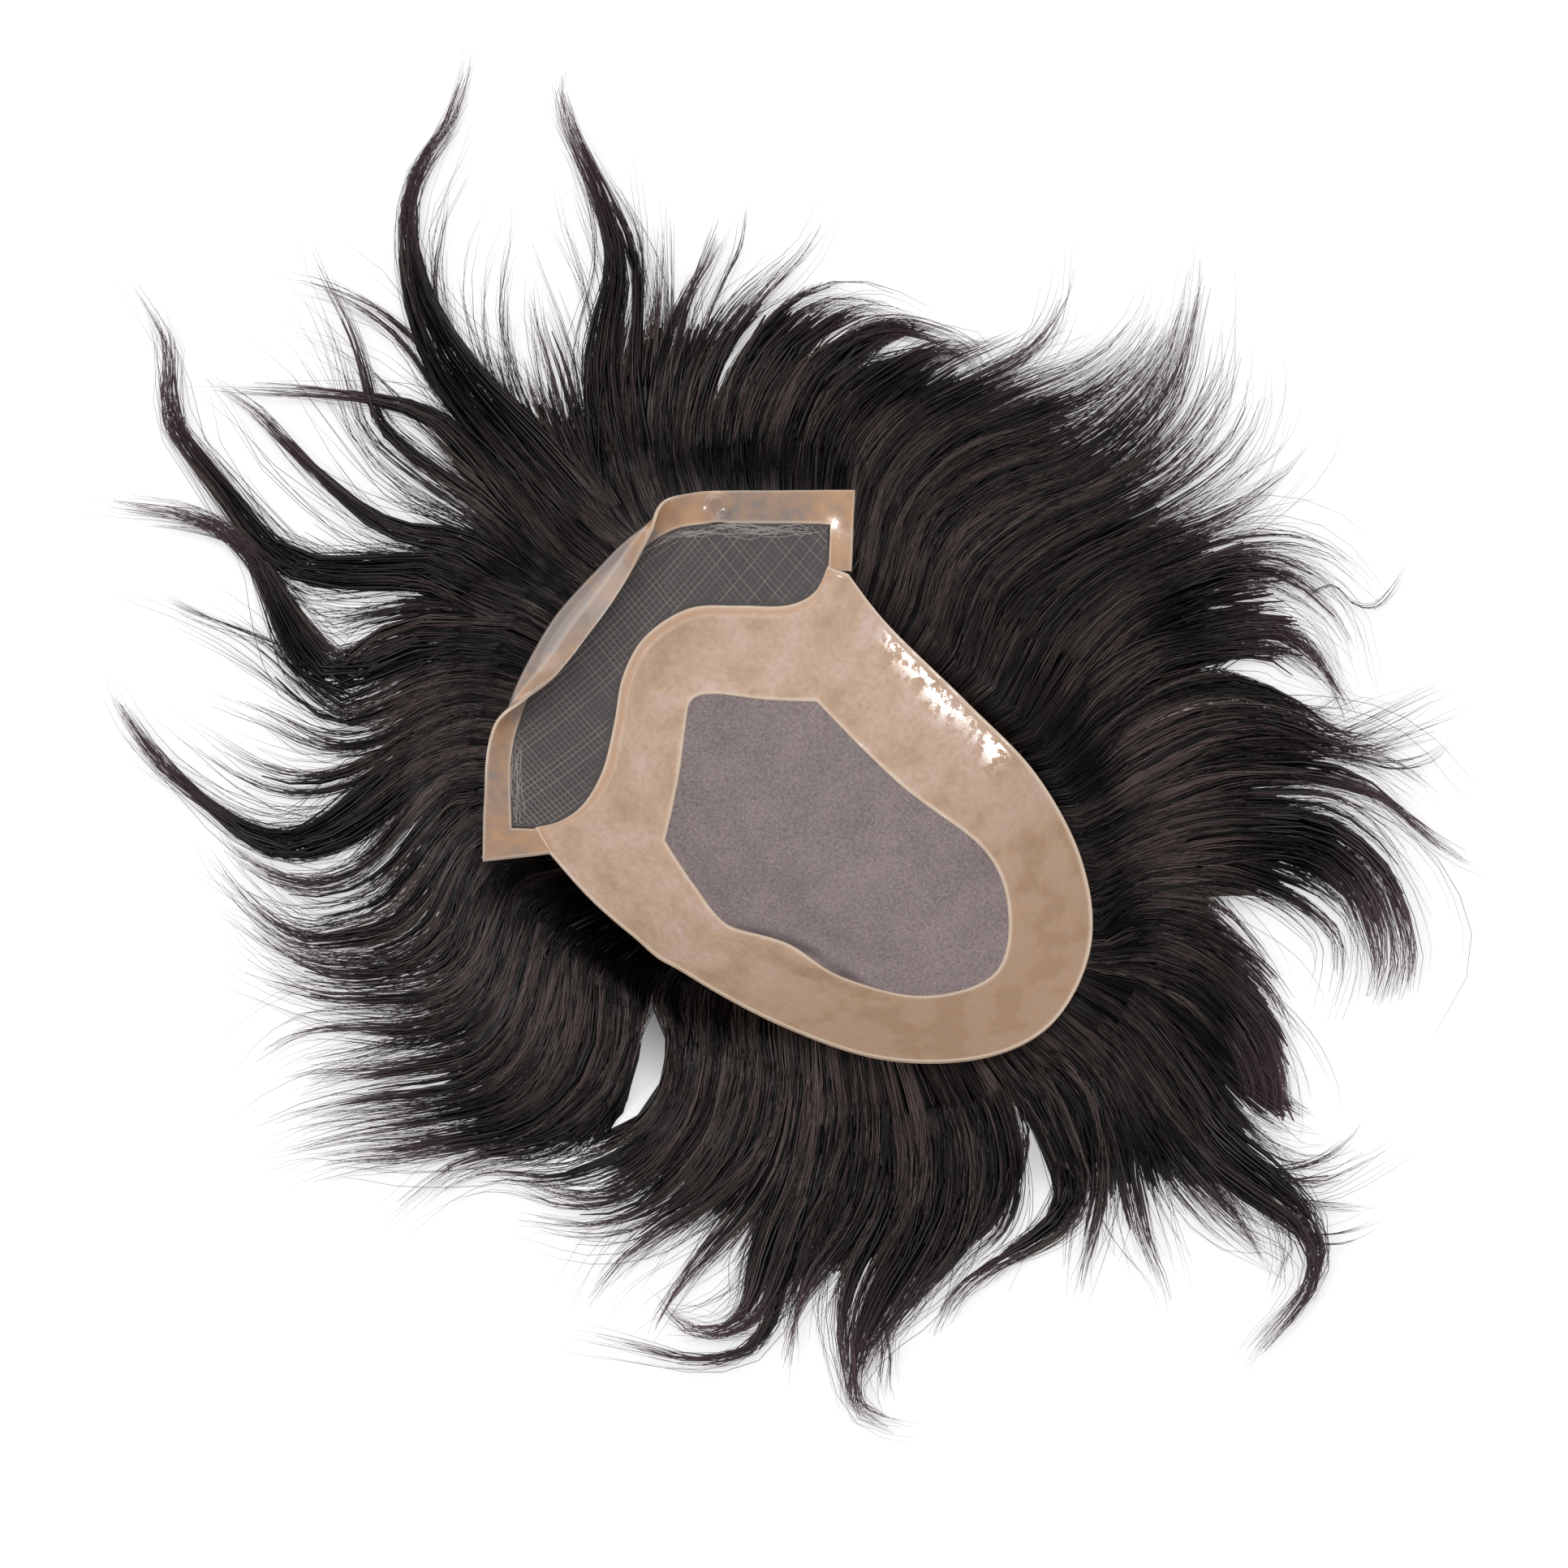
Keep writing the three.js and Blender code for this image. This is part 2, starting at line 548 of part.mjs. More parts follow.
function named(name, geometry, material) {
  const mesh = new THREE.Mesh(geometry, material);
  mesh.name = name;
  return mesh;
}

const hairpiece = new THREE.Group();
hairpiece.add(named('skin_band', skinBand(), skin));
hairpiece.add(named('crown_mono', crownMono(), mono));
hairpiece.add(named('front_lace', frontLace(), lace));
hairpiece.add(named('front_hem', frontHem(), hem));
hairpiece.add(named('crown_hair', crownHair(), hair));
const fan = fannedHair();
for (const zone of ZONES) {
  const kept = largestBody(fan.intersect(zoneBlock(zone)));
  hairpiece.add(named(zone.name, geometryOf(kept), hair));
}

export default hairpiece;
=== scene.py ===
"""The looks of a lace front hairpiece that lies inside up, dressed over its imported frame.

Tables are in millimetres in the part's own frame: +Z up, the hairline at -Y, bearings in degrees from -Y
towards +X. Meshes are in metres.
"""

import logging
import math
from dataclasses import dataclass, field
from enum import Enum

import bpy
import numpy as np
from mathutils import Matrix, Vector


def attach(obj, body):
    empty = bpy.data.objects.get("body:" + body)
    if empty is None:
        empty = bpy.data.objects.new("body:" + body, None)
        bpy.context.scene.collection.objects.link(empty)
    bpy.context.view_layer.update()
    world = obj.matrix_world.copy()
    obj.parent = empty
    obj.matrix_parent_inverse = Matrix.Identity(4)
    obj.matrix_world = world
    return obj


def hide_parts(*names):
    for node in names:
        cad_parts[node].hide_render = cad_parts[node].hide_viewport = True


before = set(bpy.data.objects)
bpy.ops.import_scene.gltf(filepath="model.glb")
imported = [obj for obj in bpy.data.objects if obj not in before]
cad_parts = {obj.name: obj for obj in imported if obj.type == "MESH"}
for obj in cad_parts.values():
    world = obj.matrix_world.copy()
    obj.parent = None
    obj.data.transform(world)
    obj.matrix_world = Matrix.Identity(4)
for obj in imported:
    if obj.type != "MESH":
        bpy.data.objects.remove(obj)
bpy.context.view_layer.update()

LOG = logging.getLogger("hairpiece")
MM = 0.001
TINY = 1e-9
WHITE = (1, 1, 1, 1)
BODY = "root"
MERGE_WITHIN = MM / 100
SMOOTH_BELOW = 50
# How far apart Blender's wave bands are at a scale of one.
BAND_PITCH = math.pi / 10
SEED = 67

Array = np.ndarray
Material = bpy.types.Material
Object = bpy.types.Object
Rng = np.random.Generator
Socket = bpy.types.NodeSocket


def linear(hex_colour: str) -> tuple[float, float, float, float]:
    """Turns an sRGB hex colour to linear values.

    Args:
        hex_colour: Six hex digits after a hash sign.

    Returns:
        Red, green, blue and an alpha of one, as Blender's sockets take them.
    """
    parts = [int(hex_colour[i : i + 2], 16) / 255 for i in (1, 3, 5)]
    made = [c / 12.92 if c <= 0.04045 else ((c + 0.055) / 1.055) ** 2.4 for c in parts]
    return (made[0], made[1], made[2], 1.0)


def smoothstep(value: Array, low: float, high: float) -> Array:
    """Goes smoothly from 0 at low to 1 at high."""
    share = np.clip((value - low) / (high - low), 0, 1)
    return share * share * (3 - 2 * share)


def bell(value: Array, width: float) -> Array:
    """Falls off smoothly from 1 at 0, on both sides."""
    return np.exp(-((value / width) ** 2))


def unit(vectors: Array) -> Array:
    """Gives vectors a length of one."""
    return vectors / (np.linalg.norm(vectors, axis=-1, keepdims=True) + TINY)


def column(places: Array, values: Array, at: Array) -> Array:
    """Reads a table's column on a smooth line through its rows.

    Args:
        places: Where each row stands, rising.
        values: The column's value in each row.
        at: The places that are wanted.

    Returns:
        The values there.
    """
    last = len(places) - 1
    after = np.clip(np.searchsorted(places, at, side="right"), 1, last)
    before = after - 1
    t0, t1 = places[before], places[after]
    starts, ends = before == 0, after == last
    t_prev = np.where(starts, t1, places[np.maximum(before - 1, 0)])
    v_prev = np.where(starts, values[after], values[np.maximum(before - 1, 0)])
    t_next = np.where(ends, t0, places[np.minimum(after + 1, last)])
    v_next = np.where(ends, values[before], values[np.minimum(after + 1, last)])
    span = t1 - t0
    slope_0 = (values[after] - v_prev) / np.where(starts, 2 * span, t1 - t_prev)
    slope_1 = (v_next - values[before]) / np.where(ends, 2 * span, t_next - t0)
    slope_0 = np.where(starts, (values[after] - values[before]) / span, slope_0)
    slope_1 = np.where(ends, (values[after] - values[before]) / span, slope_1)
    share = (at - t0) / span
    square, cube = share**2, share**3
    return (
        (2 * cube - 3 * square + 1) * values[before]
        + (cube - 2 * square + share) * span * slope_0
        + (3 * square - 2 * cube) * values[after]
        + (cube - square) * span * slope_1
    )


def spaced_line(points: list, steps: int) -> Array:
    """Draws a smooth line through points.

    Args:
        points: The points that it goes through.
        steps: How many even steps it is divided into.

    Returns:
        The steps + 1 points, evenly spaced along it.
    """
    knots = np.asarray(points, float)
    per_span = 40
    share = np.linspace(0, len(knots) - 1, (len(knots) - 1) * per_span + 1)
    span = np.minimum(share.astype(int), len(knots) - 2)
    t = (share - span)[:, None]
    p0 = knots[np.maximum(span - 1, 0)]
    p1, p2 = knots[span], knots[span + 1]
    p3 = knots[np.minimum(span + 2, len(knots) - 1)]
    v0, v1 = (p2 - p0) / 2, (p3 - p1) / 2
    fine = (2 * p1 - 2 * p2 + v0 + v1) * t**3 + (-3 * p1 + 3 * p2 - 2 * v0 - v1) * t**2 + v0 * t + p1
    run = np.r_[0, np.cumsum(np.linalg.norm(np.diff(fine, axis=0), axis=1))]
    return along_line(fine, np.interp(np.linspace(0, run[-1], steps + 1), run, np.arange(len(run))))


def along_line(line: Array, at: Array) -> Array:
    """Gives the plan points at places along a line, counted in its own steps."""
    return np.stack([np.interp(at, np.arange(len(line)), line[:, axis]) for axis in (0, 1)], axis=-1)


def moved_line(points: Array, distance: float) -> Array:
    """Moves an open plan line aside.

    Args:
        points: The line's points.
        distance: How far to its right, or to its left if it is below 0.

    Returns:
        The points of the moved line.
    """
    before, after = np.roll(points, 1, axis=0), np.roll(points, -1, axis=0)
    before[0], after[-1] = points[0], points[-1]
    along = unit(after - before)
    return points + distance * np.column_stack([along[:, 1], -along[:, 0]])


def plan_point(bearing: Array, distance: Array) -> Array:
    """Gives the plan points at bearings and distances from the origin."""
    angle = np.radians(bearing)
    return np.stack([distance * np.sin(angle), -distance * np.cos(angle)], axis=-1)


@dataclass(frozen=True)
class Crease:
    """A soft groove or shade: a plan point, a heading from +X towards +Y, its depth, length and width."""

    x: float
    y: float
    heading: float
    depth: float
    length: float
    width: float

    def groove(self, points: Array) -> Array:
        """Gives how deep it is at plan points.

        Args:
            points: Plan points.

        Returns:
            The depths.
        """
        cos, sin = math.cos(math.radians(self.heading)), math.sin(math.radians(self.heading))
        x, y = points[..., 0] - self.x, points[..., 1] - self.y
        along, across = (x * cos + y * sin) / self.length, (y * cos - x * sin) / self.width
        return self.depth * np.exp(-(along**2) - across**2)


@dataclass(frozen=True)
class Bowl:
    """The inside of the base: keel and side walls by section, with the creases that it fell into."""

    side_rise: float = 26
    side_power: float = 1.7
    y: tuple = (-104, -80, -58, -27, 5, 40, 75, 104)
    mid: tuple = (0, 0, 0, 3, 5, 2, 1, 1)
    half: tuple = (88, 86, 78, 66, 64, 62, 60, 58)
    keel: tuple = (40, 29, 20.5, 14, 12, 14.5, 25, 39)
    creases: tuple = (Crease(57, 2, -12, 3, 20, 5), Crease(34, 26, 112, 2, 24, 5))

    def height(self, points: Array) -> Array:
        """Gives the height of the inside above the surface at plan points.

        Args:
            points: Plan points.

        Returns:
            The heights.
        """
        places = np.array(self.y, float)
        in_y = np.clip(points[..., 1], self.y[0], self.y[-1])
        mid, half, keel = (column(places, np.array(c, float), in_y) for c in (self.mid, self.half, self.keel))
        height = keel + self.side_rise * (np.abs(points[..., 0] - mid) / half) ** self.side_power
        return height - sum(crease.groove(points) for crease in self.creases)

    def lay(self, points: Array) -> Array:
        """Lays plan points on the inside of the base."""
        return np.concatenate([points, self.height(points)[..., None]], axis=-1)


@dataclass(frozen=True)
class BasePlan:
    """The plan outlines of the base, each a smooth line through a few points, and the walls' sizes."""

    wall: float = 1.0
    skin_edge: tuple = ((67, -45), (69, -20), (65, 12), (57, 45), (45, 73), (24, 94), (1, 101), (-24, 93),
                        (-43, 72), (-55, 42), (-58, 10), (-60, -24), (-64, -45))
    bridge_edge: tuple = ((-62, -52), (-54, -50), (-46, -54), (-36, -65), (-24, -75.5), (-8, -79), (6, -75),
                          (19, -66), (33, -57), (46, -52), (56, -51.5), (64, -54))
    window_front: tuple = ((-31, -27), (-21, -40), (-12, -52), (-5, -56), (3, -51), (16, -41), (35, -28))
    window_back: tuple = ((35, -28), (39, -12), (41, 4), (32, 22), (29, 42), (18, 64), (-2, 75), (-20, 64),
                          (-30, 44), (-29, 10), (-31, -27))
    lace_edge: tuple = ((-71, -60.3), (-64.4, -68.4), (-57.6, -75.9), (-50.5, -83.2), (-43, -90),
                        (-35.5, -94.6), (-25, -97), (-13, -97), (10, -94.5), (32, -88), (44, -82), (50, -78),
                        (56.3, -72.6), (63, -65.5), (69.6, -58.2))
    bridge_steps: int = 88
    rim_steps: int = 160

    def window(self) -> Array:
        """Gives the window's closed edge, from its left corner round by the front and back to it."""
        front = spaced_line(self.window_front, self.bridge_steps)[:-1]
        return np.concatenate([front, spaced_line(self.window_back, self.rim_steps)[:-1], front[:1]])

    def rim(self) -> Array:
        """Gives the skin's closed outer edge, beside the window's points."""
        bridge = self.bridge()
        return np.concatenate([bridge, spaced_line(self.skin_edge, self.rim_steps - 1), bridge[:1]])

    def bridge(self) -> Array:
        """Gives the front edge of the skin, from its left notch to its right one."""
        return spaced_line(self.bridge_edge, self.bridge_steps - 1)


@dataclass
class Bundle:
    """Strands to be joined in one mesh, in families that share a number of steps.

    Each family holds lines in millimetres, widths, flatness, tones and the run from root to tip.
    """

    families: list = field(default_factory=list)
    sides: int = 3
    streak_shift: float = 997

    def add(self, lines: Array, widths: Array, flatness: float, tones: Array, runs: Array) -> None:
        """Adds a family of strands.

        Args:
            lines: Points by strand and step.
            widths: Widths by strand and step.
            flatness: Depth of a strand over its width.
            tones: A value from 0 up for each strand, or by strand and step.
            runs: Share of the way from root to tip, by strand and step.
        """
        by_step = np.broadcast_to(tones.reshape(len(tones), -1), widths.shape)
        self.families.append((lines, widths, flatness, by_step, runs))

    def mesh_arrays(self) -> tuple[Array, Array, Array, dict]:
        """Works out the vertices, face corners, face sizes and marks of all the strands.

        Returns:
            Points, vertex numbers face by face, corners of each face, and values by mark.
        """
        verts, faces, sizes = [], [], []
        marks: dict[str, list] = {"tone": [], "run": [], "comb": []}
        start = 0
        for lines, widths, flatness, tones, runs in self.families:
            count, steps = lines.shape[:2]
            ahead = unit(np.gradient(lines, axis=1))
            side = unit(np.stack([-ahead[..., 1], ahead[..., 0], np.zeros((count, steps))], axis=-1))
            up = np.cross(ahead, side)
            half, depth = widths[..., None] / 2, widths[..., None] * flatness
            ring = np.stack([lines - side * half - up * depth / 3, lines + up * depth * 2 / 3,
                             lines + side * half - up * depth / 3], axis=2)
            verts.append(ring.reshape(-1, 3))
            ids = start + np.arange(count * steps * self.sides).reshape(count, steps, self.sides)
            here, there = ids[:, :-1], ids[:, 1:]
            quads = np.stack([here, np.roll(here, -1, axis=2), np.roll(there, -1, axis=2), there], axis=-1)
            ends = np.concatenate([ids[:, 0, ::-1], ids[:, -1]])
            faces += [quads.reshape(-1), ends.reshape(-1)]
            sizes += [np.full(count * (steps - 1) * self.sides, 4), np.full(count * 2, self.sides)]
            start += ids.size
            strides = np.linalg.norm(np.diff(lines, axis=1), axis=2)
            length = np.concatenate([np.zeros((count, 1)), np.cumsum(strides, axis=1)], axis=1)
            across = np.stack([widths * 0, widths / 2, widths], axis=2)
            comb = np.stack([across, np.repeat(length[..., None], self.sides, 2),
                             np.broadcast_to(tones[:, :1, None] * self.streak_shift, across.shape)], axis=-1)
            marks["comb"].append(comb.reshape(-1, 3))
            marks["tone"].append(np.repeat(tones.reshape(-1), self.sides))
            marks["run"].append(np.repeat(runs.reshape(-1), self.sides))
        return (np.concatenate(verts), np.concatenate(faces), np.concatenate(sizes),
                {name: np.concatenate(values) for name, values in marks.items()})


class Workshop:
    """The bench: makes films and strands of points, and finishes the pieces."""

    @staticmethod
    def film(name: str, rows: Array, wall: float, **marks: Array) -> Object:
        """Makes a sheet that faces up, with its wall below it.

        Args:
            name: The piece's name.
            rows: Points in millimetres, by row and column.
            wall: How thick it is.
            marks: Values on its points, for its finish to read.

        Returns:
            The piece, with doubled points merged.
        """
        bpy.ops.object.select_all(action="DESELECT")
        down, along = rows.shape[0] - 1, rows.shape[1] - 1
        bpy.ops.mesh.primitive_grid_add(x_subdivisions=along, y_subdivisions=down, size=1)
        made = bpy.context.object
        made.name = name
        made.data.name = name
        made.data.vertices.foreach_set("co", (rows.reshape(-1, 3) * MM).astype(np.float32).ravel())
        made.data.update()
        for mark, values in marks.items():
            attribute = made.data.attributes.new(mark, "FLOAT", "POINT")
            attribute.data.foreach_set("value", values.astype(np.float32).ravel())
        Workshop.close_seams(made)
        solidify = made.modifiers.new("wall", "SOLIDIFY")
        solidify.thickness = wall * MM
        solidify.offset = -1
        bpy.ops.object.modifier_apply(modifier=solidify.name)
        bpy.ops.object.shade_smooth_by_angle(angle=math.radians(SMOOTH_BELOW))
        return made

    @staticmethod
    def close_seams(piece: Object) -> None:
        """Merges doubled vertices and turns the sheet's faces up.

        Args:
            piece: The sheet, which is the active object.
        """
        bpy.ops.object.mode_set(mode="EDIT")
        bpy.ops.mesh.select_all(action="SELECT")
        bpy.ops.mesh.remove_doubles(threshold=MERGE_WITHIN)
        bpy.ops.mesh.normals_make_consistent(inside=False)
        bpy.ops.object.mode_set(mode="OBJECT")
        normals = np.zeros(len(piece.data.polygons) * 3, np.float32)
        piece.data.polygons.foreach_get("normal", normals)
        if normals.reshape(-1, 3)[:, 2].mean() < 0:
            bpy.ops.object.mode_set(mode="EDIT")
            bpy.ops.mesh.select_all(action="SELECT")
            bpy.ops.mesh.flip_normals()
            bpy.ops.object.mode_set(mode="OBJECT")

    @staticmethod
    def strands(name: str, bundle: Bundle) -> Object:
        """Makes one joined mesh of closed three-sided strands.

        Args:
            name: The piece's name.
            bundle: The strands' lines, widths and marks.

        Returns:
            The piece.
        """
        verts, faces, sizes, marks = bundle.mesh_arrays()
        mesh = bpy.data.meshes.new(name)
        mesh.vertices.add(len(verts))
        mesh.vertices.foreach_set("co", (verts * MM).astype(np.float32).ravel())
        mesh.loops.add(len(faces))
        mesh.loops.foreach_set("vertex_index", faces.astype(np.int32))
        mesh.polygons.add(len(sizes))
        mesh.polygons.foreach_set("loop_start", np.r_[0, np.cumsum(sizes)[:-1]].astype(np.int32))
        mesh.update(calc_edges=True)
        mesh.shade_smooth()
        for mark, values in marks.items():
            kind, key = ("FLOAT", "value") if values.ndim == 1 else ("FLOAT_VECTOR", "vector")
            attribute = mesh.attributes.new(mark, kind, "POINT")
            attribute.data.foreach_set(key, values.astype(np.float32).ravel())
        piece = bpy.data.objects.new(name, mesh)
        bpy.context.scene.collection.objects.link(piece)
        return piece

    @staticmethod
    def finish(piece: Object, finish: Material, slot: str, *nodes: str) -> None:
        """Gives a piece its material and its body, and hides the solids that it stands for.

        Args:
            piece: The piece.
            finish: Its material.
            slot: Not used.
            nodes: The solids that it stands for.
        """
        piece.data.materials.clear()
        piece.data.materials.append(finish)
        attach(piece, BODY)
        if nodes:
            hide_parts(*nodes)
        LOG.info("%s: %d faces", piece.name, len(piece.data.polygons))

    @staticmethod
    def cloth_area(piece: Object) -> float:
        """Gives the area of one face of a thin closed sheet in square metres."""
        areas = np.zeros(len(piece.data.polygons), np.float32)
        piece.data.polygons.foreach_get("area", areas)
        return float(areas.sum()) / 2


@dataclass
class Graph:
    """A node tree that is being built, with a method for each kind of node that the finishes share."""

    tree: bpy.types.NodeTree

    @staticmethod
    def material(name: str) -> tuple[Material, "Graph"]:
        """Starts a material with an empty tree.

        Args:
            name: The material's name.

        Returns:
            The material and its graph.
        """
        made = bpy.data.materials.new(name)
        made.use_nodes = True
        made.node_tree.nodes.clear()
        return made, Graph(made.node_tree)

    def add(self, kind: str, inputs: dict | None = None, **settings: str | bool) -> bpy.types.Node:
        """Adds a node with its settings and links.

        Args:
            kind: Blender's name for the kind of node, after ShaderNode.
            inputs: Its sockets by name or place, each with a value or with the socket that is linked to it.
            settings: The node's own settings by name.

        Returns:
            The new node.
        """
        made = self.tree.nodes.new(f"ShaderNode{kind}")
        for name, value in settings.items():
            setattr(made, name, value)
        for name, value in (inputs or {}).items():
            if isinstance(value, Socket):
                self.tree.links.new(value, made.inputs[name])
            else:
                made.inputs[name].default_value = value
        return made

    def place(self) -> Socket:
        """Gives the place on the object in metres."""
        return self.add("TexCoord").outputs["Object"]

    def mark(self, name: str, output: str = "Fac") -> Socket:
        """Reads a mark that the mesh carries."""
        return self.add("Attribute", attribute_name=name).outputs[output]

    def noise(self, at: Socket, size: float, detail: float, roughness: float = 0.5) -> Socket:
        """Draws noise with patches of a size."""
        inputs = {"Vector": at, "Scale": 1 / size, "Detail": detail, "Roughness": roughness}
        return self.add("TexNoise", inputs).outputs["Fac"]

    def ranged(self, value: Socket, start: tuple, end: tuple = (0, 1), **settings: str) -> Socket:
        """Maps one range of values to another."""
        names = ("From Min", "From Max", "To Min", "To Max")
        inputs = {"Value": value, **dict(zip(names, (*start, *end)))}
        return self.add("MapRange", inputs, **settings).outputs[0]

    def mix(self, share: Socket, *colours: Socket | str) -> Socket:
        """Mixes two colours, each a socket or an sRGB hex colour, by the node's colour sockets 6 and 7."""
        first, second = (linear(colour) if isinstance(colour, str) else colour for colour in colours)
        return self.add("Mix", {0: share, 6: first, 7: second}, data_type="RGBA").outputs[2]

    def math(self, operation: str, *values: Socket | float, clamps: bool = False) -> Socket:
        """Works out a sum or a product."""
        return self.add("Math", dict(enumerate(values)), operation=operation, use_clamp=clamps).outputs[0]

    def bump(self, height: Socket, strength: float, rise_mm: float, **inputs: Socket) -> Socket:
        """Turns a height to a normal, over another one if it is given."""
        sizes = {"Height": height, "Strength": strength, "Distance": rise_mm * MM}
        return self.add("Bump", {**sizes, **inputs}).outputs[0]

    def surface(self, inputs: dict) -> None:
        """Ends the tree in a principled surface."""
        self.add("OutputMaterial", {"Surface": self.add("BsdfPrincipled", inputs).outputs[0]})


@dataclass(frozen=True)
class SkinFilm:
    """Poured polyurethane film: tan, mottled where it was spread, satin, with cream welded edges."""

    tan: str = "#CAAB92"
    pink: str = "#D0B4A7"
    brown: str = "#A48469"
    cream: str = "#DDCBB8"
    rim: str = "#CBA384"
    patch_mm: float = 13
    pink_edge: tuple = (0.5, 0.68)
    blotch_edge: tuple = (0.5, 0.3)
    blotch_brown: float = 0.5
    grain_mm: float = 1.8
    speck_edge: tuple = (0.42, 0.7)
    speck_brown: float = 0.35
    fleck_mm: float = 3.2
    fleck_edge: tuple = (0.47, 0.53)
    coat: float = 0.7
    # Browner towards the back: part the film's own pigment, part painted shade for how the surface there
    # faces the light.
    nape_heading: tuple = (0.2, 0.98, 0)
    nape_mm: tuple = (-18, 80)
    nape_pigment_and_shade: float = 0.8
    rough_edge: tuple = (0.3, 0.7)
    roughness: tuple = (0.44, 0.6)

    def material(self) -> Material:
        """Builds the material. Patches and a fine grain mottle it, and flecks of gloss break its lights.

        Returns:
            The material.
        """
        made, graph = Graph.material("polyurethane_skin_film")
        place = graph.place()
        patch = graph.noise(place, self.patch_mm * MM, detail=3.0, roughness=0.55)
        grain = graph.noise(place, self.grain_mm * MM, detail=4.0, roughness=0.6)
        fleck = graph.noise(place, self.fleck_mm * MM, detail=4.0, roughness=0.65)
        # Browner towards the back, part pigment and part painted shade.
        along = graph.add("VectorMath", {0: place, 1: self.nape_heading}, operation="DOT_PRODUCT")
        span = tuple(at * MM for at in self.nape_mm)
        back_brown_and_shade = graph.ranged(along.outputs["Value"], span, (0, self.nape_pigment_and_shade),
                            interpolation_type="SMOOTHSTEP")
        blotch = graph.ranged(patch, self.blotch_edge, (0, self.blotch_brown))
        colour = graph.mix(graph.ranged(patch, self.pink_edge), self.tan, self.pink)
        colour = graph.mix(graph.math("ADD", back_brown_and_shade, blotch, clamps=True), colour, self.brown)
        colour = graph.mix(graph.ranged(grain, self.speck_edge, (0, self.speck_brown)), colour, self.brown)
        colour = graph.mix(graph.mark("bridge_rim"), colour, self.rim)
        colour = graph.mix(graph.mark("edge_line"), colour, self.cream)
        grained = graph.bump(grain, strength=0.4, rise_mm=0.5)
        graph.surface({
            "Base Color": colour, "Roughness": graph.ranged(grain, self.rough_edge, self.roughness),
            "Normal": graph.bump(fleck, strength=0.6, rise_mm=0.6, Normal=grained), "IOR": 1.49,
            "Coat Weight": graph.ranged(fleck, self.fleck_edge, (0, self.coat)), "Coat Roughness": 0.1})
        return made


@dataclass(frozen=True)
class MonofilamentMesh:
    """Fine woven nylon monofilament over hair: grey-mauve, matt, with a close grain."""

    light: str = "#9A8B8B"
    dark: str = "#685A5A"
    # Painted shade along the folds, where the panel dips under the skin's edge.
    fold: str = "#4A3F3E"
    thread_mm: float = 1.1
    blotch_mm: float = 14
    blotch_share: float = 0.3
    grain_mm: float = 0.9
    light_edge: tuple = (0.42, 0.88)

    def material(self) -> Material:
        """Builds the material. The real threads are half as far apart, which is too fine to show.

        Returns:
            The material.
        """
        made, graph = Graph.material("nylon_monofilament")
        place = graph.place()
        grain = graph.noise(place, self.grain_mm * MM, detail=3.0, roughness=0.7)
        blotch = graph.noise(place, self.blotch_mm * MM, detail=2.0)
        bands = {"Vector": place, "Scale": BAND_PITCH / (self.thread_mm * MM)}
        waves = [graph.add("TexWave", bands, wave_type="BANDS", bands_direction=way) for way in ("X", "Y")]
        weave = graph.math("MULTIPLY", *(wave.outputs["Fac"] for wave in waves))
        mixed = graph.math("MULTIPLY_ADD", blotch, self.blotch_share, grain)
        colour = graph.mix(graph.ranged(mixed, self.light_edge), self.dark, self.light)
        # The fold mark mixes in the painted shade along the folds.
        graph.surface({
            "Base Color": graph.mix(graph.mark("fold"), colour, self.fold),
            "Normal": graph.bump(graph.math("ADD", weave, grain), strength=0.35, rise_mm=0.25),
            "Roughness": 0.62, "IOR": 1.53, "Sheen Weight": 0.15})
        return made


@dataclass(frozen=True)
class LaceCloth:
    """Dark lace seen over dark hair: a charcoal ground on which the paler net stands."""

    ground: str = "#484343"
    pale: str = "#595353"
    grain_mm: float = 1.2

    def material(self) -> Material:
        """Builds the material. The grain is the hair that shows through the holes."""
        made, graph = Graph.material("lace_ground")
        grain = graph.noise(graph.place(), self.grain_mm * MM, detail=3.0)
        graph.surface({
            "Base Color": graph.mix(grain, self.ground, self.pale),
            "Normal": graph.bump(grain, strength=0.3, rise_mm=0.2), "Roughness": 0.7, "IOR": 1.53})
        return made


@dataclass(frozen=True)
class NetThread:
    """Nylon thread of the lace net: charcoal, paler where single threads have frayed from its edge."""

    dark: str = "#696362"
    pale: str = "#ABA3A0"

    def material(self) -> Material:
        """Builds the material, varied from thread to thread by its tone."""
        made, graph = Graph.material("lace_net_thread")
        colour = graph.mix(graph.mark("tone"), self.dark, self.pale)
        graph.surface({"Base Color": colour, "Roughness": 0.5, "IOR": 1.53})
        return made


@dataclass(frozen=True)
class ClearFilm:
    """Clear polyurethane strip over dark hair: tan where it is thick, greyer where the hair shows through."""

    tan: str = "#BC9472"
    grey: str = "#8C7F79"
    cream: str = "#D8C7B8"
    streak_mm: float = 3.5
    patch_mm: float = 11
    uneven_edge: tuple = (0.7, 1.3)
    uneven: tuple = (-0.4, 0.4)

    def material(self) -> Material:
        """Builds the material. It reads how thick the film is and where it is folded or welded.

        Returns:
            The material.
        """
        made, graph = Graph.material("clear_polyurethane_strip")
        place = graph.place()
        streak = graph.noise(place, self.streak_mm * MM, detail=3.0)
        patch = graph.noise(place, self.patch_mm * MM, detail=2.0)
        uneven = graph.ranged(graph.math("ADD", streak, patch), self.uneven_edge, self.uneven)
        depth = graph.math("ADD", graph.mark("thick"), uneven, clamps=True)
        colour = graph.mix(depth, self.grey, self.tan)
        graph.surface({
            "Base Color": graph.mix(graph.mark("edge_line"), colour, self.cream),
            "Normal": graph.bump(streak, strength=0.2, rise_mm=0.4), "Roughness": 0.22, "IOR": 1.49,
            "Coat Weight": 0.5, "Coat Roughness": 0.08})
        return made


